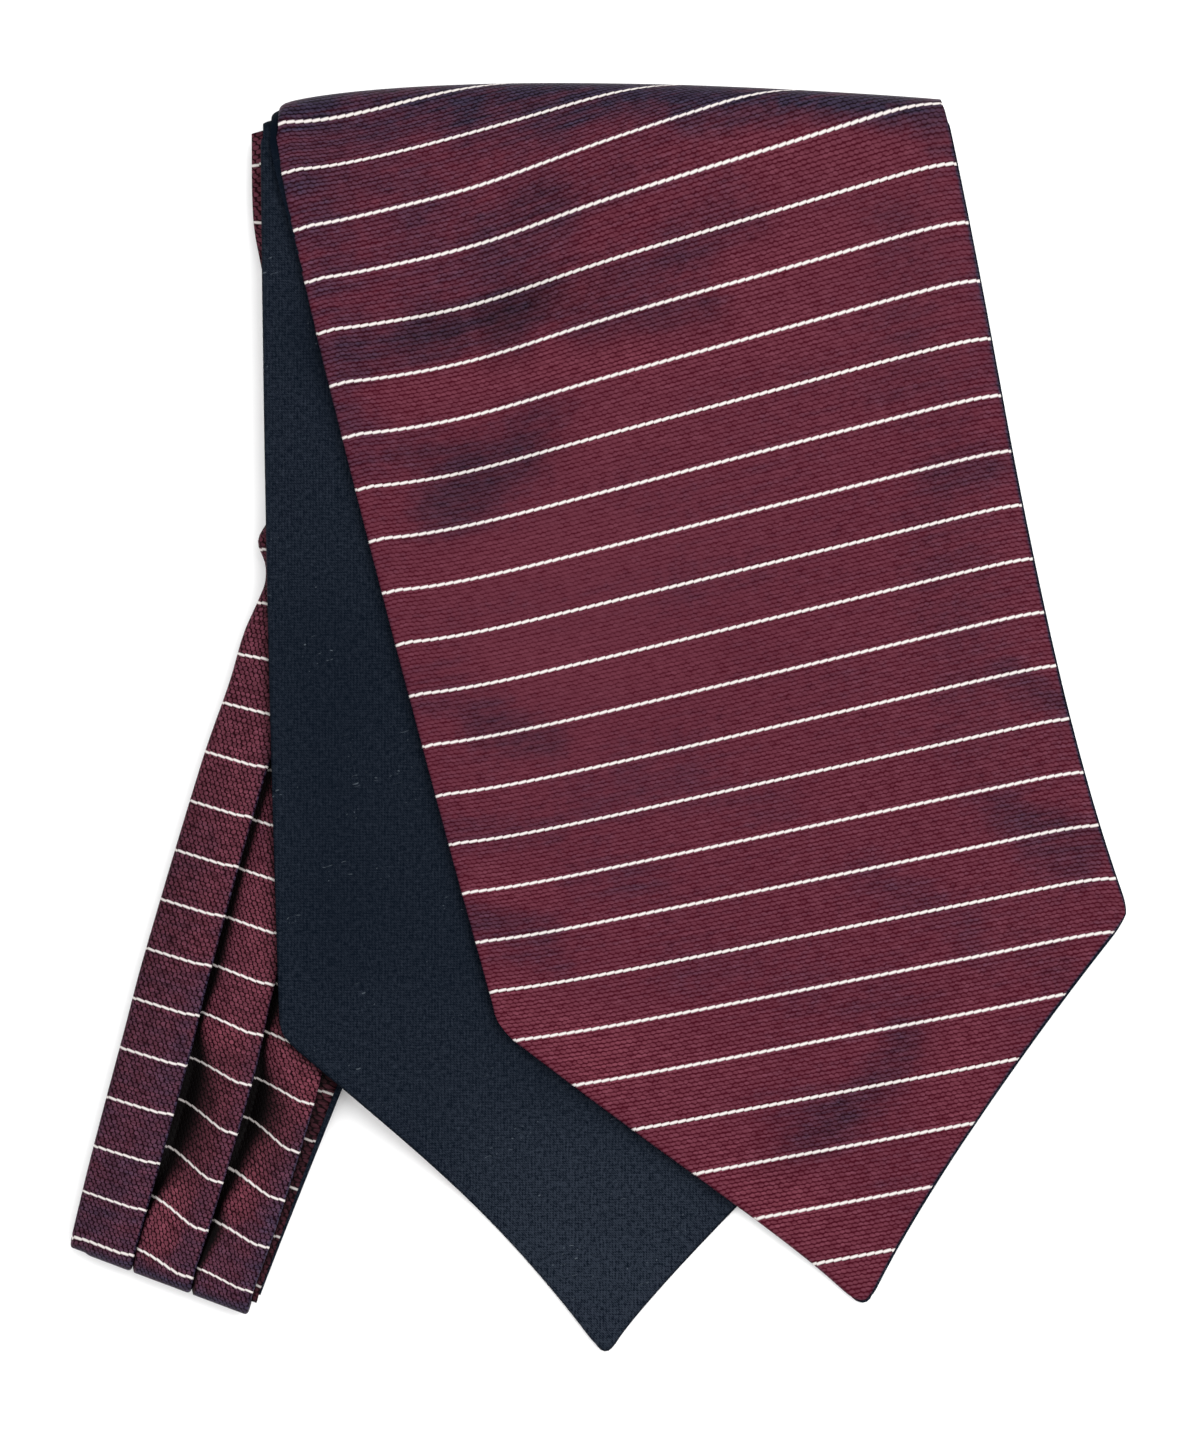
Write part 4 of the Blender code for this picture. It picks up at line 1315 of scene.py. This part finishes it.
def navy_lining(sizes):
    """A matt lining in a fine twill, with a little lint on it."""
    shader = Shader("navy_twill")
    u, v = shader.weave()
    grain = shader.grain(LINING_GRAIN, u, v)
    slub = shader.grain(SLUB_ACROSS, u, v) + shader.grain(SLUB_ALONG, u, v)
    cloud = shader.grain(LINING_CLOUD, u, v)
    pitch = sizes.twill_pitch
    twill = abs(((u + v) / pitch + grain * TWILL_STRAY).part() - 0.5) * 2.0
    thread = abs((u / pitch * THREAD_COUNT).part() - 0.5) + abs((v / pitch).part() - 0.5)
    weave = twill * 0.5 + thread * 0.5
    bend = shader.grain(LINT_BEND, u, v) * 0.02
    lint = shader.grain(LINT, u * 0.3 + v * 0.2 + bend, v - u * 0.3).between(LINT_FROM, LINT_TO)
    lint = lint * shader.grain(LINT_PATCH, u, v).between(PATCH_FROM, PATCH_TO)
    uneven = (weave - 0.5) * WEAVE_UNEVEN + (grain - 0.5) * GRAIN_UNEVEN
    uneven = uneven + (slub - 1.0) * SLUB_UNEVEN + (cloud - 0.5) * CLOUD_UNEVEN
    # painted light and shade: the tone from creases and slopes lightens or darkens the lining
    share = (LIGHT_SHARE - shader.attribute("tone") * LIGHT_TONE) * (uneven + 1.0)
    colour = shader.blend(share, sizes.lining_dark, sizes.lining_light)
    # painted shade: the lining is darkened towards near-black by the shade attribute
    colour = shader.blend(shader.attribute("shade"), colour, sizes.deep)
    colour = shader.blend(lint * LINT_SHARE, colour, sizes.lint)
    return shader.finish(colour, LINING_ROUGHNESS - twill * TWILL_SHEEN, weave + grain * 0.5,
                         sizes.relief * LINING_RELIEF, Specular_IOR_Level=LINING_SPECULAR)


FLOOR_SCALE = 60.0  # of the floor's faint unevenness,
FLOOR_WORN = 0.985  # and how much darker that makes it


def pale_floor(stage):
    """A plain matt floor."""
    shader = Shader("pale_floor")
    place = shader.node("ShaderNodeTexCoord", {}, {})[3]
    grain = shader.noise(place, FLOOR_SCALE)
    shifted_tone = tuple(FLOOR_WORN * value for value in stage.floor_colour)
    colour = shader.blend(grain * 0.5, stage.floor_colour, shifted_tone)
    return shader.finish(colour, 0.9, grain, 0.02 * MM, Specular_IOR_Level=FLOOR_SPECULAR)


# ---- what a user would change

def metres(name, description, default):
    """A setting that is a length in metres."""
    return FloatProperty(name=name, description=description, default=default, unit="LENGTH")


def tint(name, description, default):
    """A setting that is a linear colour."""
    return FloatVectorProperty(name=name, description=description, default=default, subtype="COLOR")


class CravatCloth(bpy.types.PropertyGroup):
    """Sizes and colours of the cloth."""
    silk_wall: metres("Silk thickness", "Thickness of a layer of silk", 0.0007)
    lining_wall: metres("Lining thickness", "Thickness of a layer of lining", 0.0006)
    stripe_pitch: metres("Stripe pitch", "From one cream stripe to the next", STRIPE_PITCH * MM)
    blade_cord: metres("Cord width", "Width of the twisted cord of a blade's stripe", 0.00079)
    neck_cord: metres("Neckband cord width", "Width of the twisted cord of a stripe on the neckband", 0.00072)
    cord_turn: metres("Cord turn", "Length of one turn of the twisted cord", 0.0021)
    cord_step: metres("Cord step", "How far a strand runs across the cord in a turn", 0.00026)
    blade_row: metres("Weave row", "Height of a row of silk floats on the blades", 0.00104)
    blade_float: metres("Weave float", "Length of a silk float on the blades", 0.0014)
    neck_row: metres("Neckband weave row", "Height of a row of silk floats on the neckband", 0.00107)
    neck_float: metres("Neckband weave float", "Length of a silk float on the neckband", 0.0013)
    twill_pitch: metres("Twill pitch", "From one twill line to the next", 0.0006)
    relief: metres("Relief", "Height of the weave", 0.00014)
    burgundy: tint("Burgundy", "Silk that lies flat", (0.113, 0.03, 0.047))
    # painted highlight: silk painted redder as if it leans to the light
    red_light: tint("Red", "Silk that leans to the light", (0.168, 0.0418, 0.0612))
    # painted sheen: silk painted plum as if turned away from the light
    plum: tint("Plum", "Silk that is turned away", (0.0395, 0.029, 0.056))
    ground: tint("Ground", "Ground of the weave", (0.0366, 0.0008, 0.0055))
    neck_ground: tint("Neckband ground", "Ground of the neckband's weave", (0.01, 0.0002, 0.0018))
    # painted sheen: ground painted bluer as if turned away from the light
    ground_blue: tint("Blue ground", "Ground that is turned away", (0.004, 0.0005, 0.0036))
    # painted shade: the near-black that shaded silk, lining and cord are blended towards
    deep: tint("Deep", "Silk deep in a pleat", (0.0009, 0.0004, 0.0005))
    cord: tint("Cord", "Cream cord of the stripes", (0.56, 0.525, 0.505))
    # painted shade of the cord, at its rounded edges and between its strands
    cord_shade: tint("Cord shade", "Cord between its strands", (0.42, 0.36, 0.35))
    lining_dark: tint("Lining, dark", "Dark threads of the lining", (0.0004, 0.0022, 0.0058))
    lining_light: tint("Lining, light", "Light threads of the lining", (0.016, 0.021, 0.031))
    lint: tint("Lint", "Lint on the lining", (0.1, 0.12, 0.14))


class CravatStage(bpy.types.PropertyGroup):
    """The floor, the light, the sky and the camera."""
    floor_size: metres("Floor", "Side of the floor", 6.0)
    floor_colour: tint("Floor colour", "Colour of the floor", (0.95, 0.95, 0.95))
    camera_height: metres("Camera height", "Of the camera above the floor", 1.8)
    view_height: metres("View height", "Length that the view takes in", 0.3635)
    key_power: FloatProperty(name="Key light", description="Power of the main light", default=23.0,
                             unit="POWER")
    key_side: metres("Key size", "Side of the main light", 1.5)
    sky: FloatProperty(name="Sky", description="Strength of the even light from all round", default=1.28)


# ---- operators

FLOOR_DROP = 0.05 * MM
KEY_PLACE = (0.6, 0.62, 1.45)
CLIP_START = 0.05
VIEW_LEVEL = 0.6  # where in the cravat's height the view takes in its length,
VIEW_SHIFT = -0.0022  # and how far its middle lies above the middle of the cravat's box


class Cut(NamedTuple):
    """What a piece of cloth dresses, and what it was cut to."""
    node: str  # of the CAD
    slot: str
    flat: tuple  # width and length that hold the flat cloth, in metres,
    area: float  # and its own area, in square metres
    rests_on: list


CUTS = {
    "front_silk": Cut("front_blade_silk", "striped_silk", (0.166, 0.345), 0.0480, ["front_lining"]),
    "front_lining": Cut("front_blade_lining", "navy_lining", (0.166, 0.345), 0.0480, ["back_lining"]),
    "back_lining": Cut("back_blade_lining", "navy_lining", (0.163, 0.325), 0.0455, ["back_silk"]),
    "back_silk": Cut("back_blade_silk", "striped_silk", (0.163, 0.325), 0.0455, ["neck_silk"]),
    "neck_silk": Cut("neckband_silk", "striped_silk", (0.162, 0.320), 0.0385, ["neck_lining"]),
    "neck_lining": Cut("neckband_lining", "navy_lining", (0.162, 0.285), 0.0265, ["hidden_layers"]),
    "hidden_layers": Cut("folded_layers", "striped_silk", (0.162, 0.270), 0.0225, []),
}


def dress(name, layer, material, wall=None):
    """Dresses a CAD node with a piece of cloth: attaches the cloth to the root body and hides the node."""
    piece = cloth_piece(name, layer, material, wall)
    cut = CUTS[name]
    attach(piece, "root")
    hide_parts(cut.node)
    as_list(cut.rests_on)


def blade_silk(sizes):
    """The silk of the blades."""
    return bpy.data.materials.get("blade_silk") or striped_silk(
        sizes, "blade_silk", sizes.blade_row, sizes.blade_float, BLADE_WEAVE, sizes.ground, sizes.blade_cord)


def neck_silk(sizes):
    """The silk of the neckband, whose weave is coarser."""
    return bpy.data.materials.get("neck_silk") or striped_silk(
        sizes, "neck_silk", sizes.neck_row, sizes.neck_float, NECK_WEAVE, sizes.neck_ground, sizes.neck_cord)


def lining_cloth(sizes):
    """The lining of all three parts."""
    return bpy.data.materials.get("navy_twill") or navy_lining(sizes)


class CRAVAT_OT_front_blade(bpy.types.Operator):
    """Make the front blade: striped silk over its navy lining"""
    bl_idname = "cravat.front_blade"
    bl_label = "Front blade"

    def execute(self, context):
        sizes = context.scene.cravat_cloth
        low = LAYER_WALL / 2
        silk = blade_grid(FRONT, front_form, FRONT_CREASES, blade_weave, low, 0, FRONT_RETURN)
        lining = blade_grid(FRONT_LINING, front_form, FRONT_CREASES, straight_weave, low, 1, FRONT_RETURN,
                            LINING_CORNER)
        dress("front_silk", silk, blade_silk(sizes), sizes.silk_wall)
        dress("front_lining", lining, lining_cloth(sizes), sizes.lining_wall)
        return {"FINISHED"}


class CRAVAT_OT_back_blade(bpy.types.Operator):
    """Make the back blade: navy lining up, over its striped silk"""
    bl_idname = "cravat.back_blade"
    bl_label = "Back blade"

    def execute(self, context):
        sizes = context.scene.cravat_cloth
        lining = blade_grid(BACK, back_form, BACK_CREASES, straight_weave, NECK_AXIS, 0)
        silk = blade_grid(BACK, back_form, BACK_CREASES, blade_weave, NECK_AXIS, 1, inset=BACK_SILK_INSET)
        dress("back_lining", lining, lining_cloth(sizes), sizes.lining_wall)
        dress("back_silk", silk, blade_silk(sizes), sizes.silk_wall)
        return {"FINISHED"}


class CRAVAT_OT_neckband(bpy.types.Operator):
    """Make the neckband: striped silk in three knife pleats, its navy lining, and the layers it hides"""
    bl_idname = "cravat.neckband"
    bl_label = "Neckband"

    def execute(self, context):
        sizes = context.scene.cravat_cloth
        dress("neck_silk", neck_silk_grid(), neck_silk(sizes), sizes.silk_wall)
        dress("neck_lining", neck_lining_grid(), lining_cloth(sizes), sizes.lining_wall)
        dress("hidden_layers", hidden_grid(), neck_silk(sizes))
        return {"FINISHED"}


class CRAVAT_OT_stage(bpy.types.Operator):
    """Make the floor, the light, the sky and the camera above the cravat"""
    bl_idname = "cravat.stage"
    bl_label = "Stage"

    def execute(self, context):
        stage = context.scene.cravat_stage
        scene = context.scene
        scene.view_settings.view_transform = "Standard"
        work = bmesh.new()
        bmesh.ops.create_grid(work, x_segments=1, y_segments=1, size=stage.floor_size / 2)
        bmesh.ops.translate(work, verts=work.verts, vec=(0.0, 0.0, -FLOOR_DROP))
        new_piece("floor", work, pale_floor(stage))

        world = bpy.data.worlds.new("studio")
        world.use_nodes = True
        sky = world.node_tree.nodes["Background"].inputs
        sky["Color"].default_value = (1.0, 1.0, 1.0, 1.0)
        sky["Strength"].default_value = stage.sky
        scene.world = world

        light = bpy.data.lights.new("key", "AREA")
        light.size = stage.key_side
        light.energy = stage.key_power
        lamp = bpy.data.objects.new("key", light)
        lamp.location = KEY_PLACE
        lamp.rotation_euler = (-lamp.location).to_track_quat("-Z", "Y").to_euler()
        scene.collection.objects.link(lamp)

        low, high = CAD_BOX
        camera = bpy.data.cameras.new("camera")
        camera.lens = camera.sensor_width * (stage.camera_height - high[2] * VIEW_LEVEL) / stage.view_height
        camera.clip_start = CLIP_START
        viewer = bpy.data.objects.new("camera", camera)
        viewer.location = ((low[0] + high[0]) / 2, (low[1] + high[1]) / 2 + VIEW_SHIFT, stage.camera_height)
        scene.collection.objects.link(viewer)
        scene.camera = viewer
        return {"FINISHED"}


class CRAVAT_PT_sidebar(bpy.types.Panel):
    """Lists what makes the cravat"""
    bl_label = "Folded silk cravat"
    bl_idname = "CRAVAT_PT_sidebar"
    bl_space_type = "VIEW_3D"
    bl_region_type = "UI"
    bl_category = "Cravat"

    def draw(self, context):
        for group in (context.scene.cravat_cloth, context.scene.cravat_stage):
            box = self.layout.box()
            for name in group.__annotations__:
                box.prop(group, name)
        for operator in OPERATORS:
            self.layout.operator(operator.bl_idname)


OPERATORS = (CRAVAT_OT_front_blade, CRAVAT_OT_back_blade, CRAVAT_OT_neckband, CRAVAT_OT_stage)
CLASSES = (CravatCloth, CravatStage) + OPERATORS + (CRAVAT_PT_sidebar,)


def register():
    """Adds the classes and the cravat's settings."""
    for item in CLASSES:
        bpy.utils.register_class(item)
    bpy.types.Scene.cravat_cloth = PointerProperty(type=CravatCloth)
    bpy.types.Scene.cravat_stage = PointerProperty(type=CravatStage)


def unregister():
    """Takes them away again."""
    del bpy.types.Scene.cravat_cloth
    del bpy.types.Scene.cravat_stage
    for item in reversed(CLASSES):
        bpy.utils.unregister_class(item)


def main():
    """Makes the cravat and its stage."""
    register()
    bpy.ops.cravat.stage()
    bpy.ops.cravat.front_blade()
    bpy.ops.cravat.back_blade()
    bpy.ops.cravat.neckband()


if __name__ == "__main__":
    main()
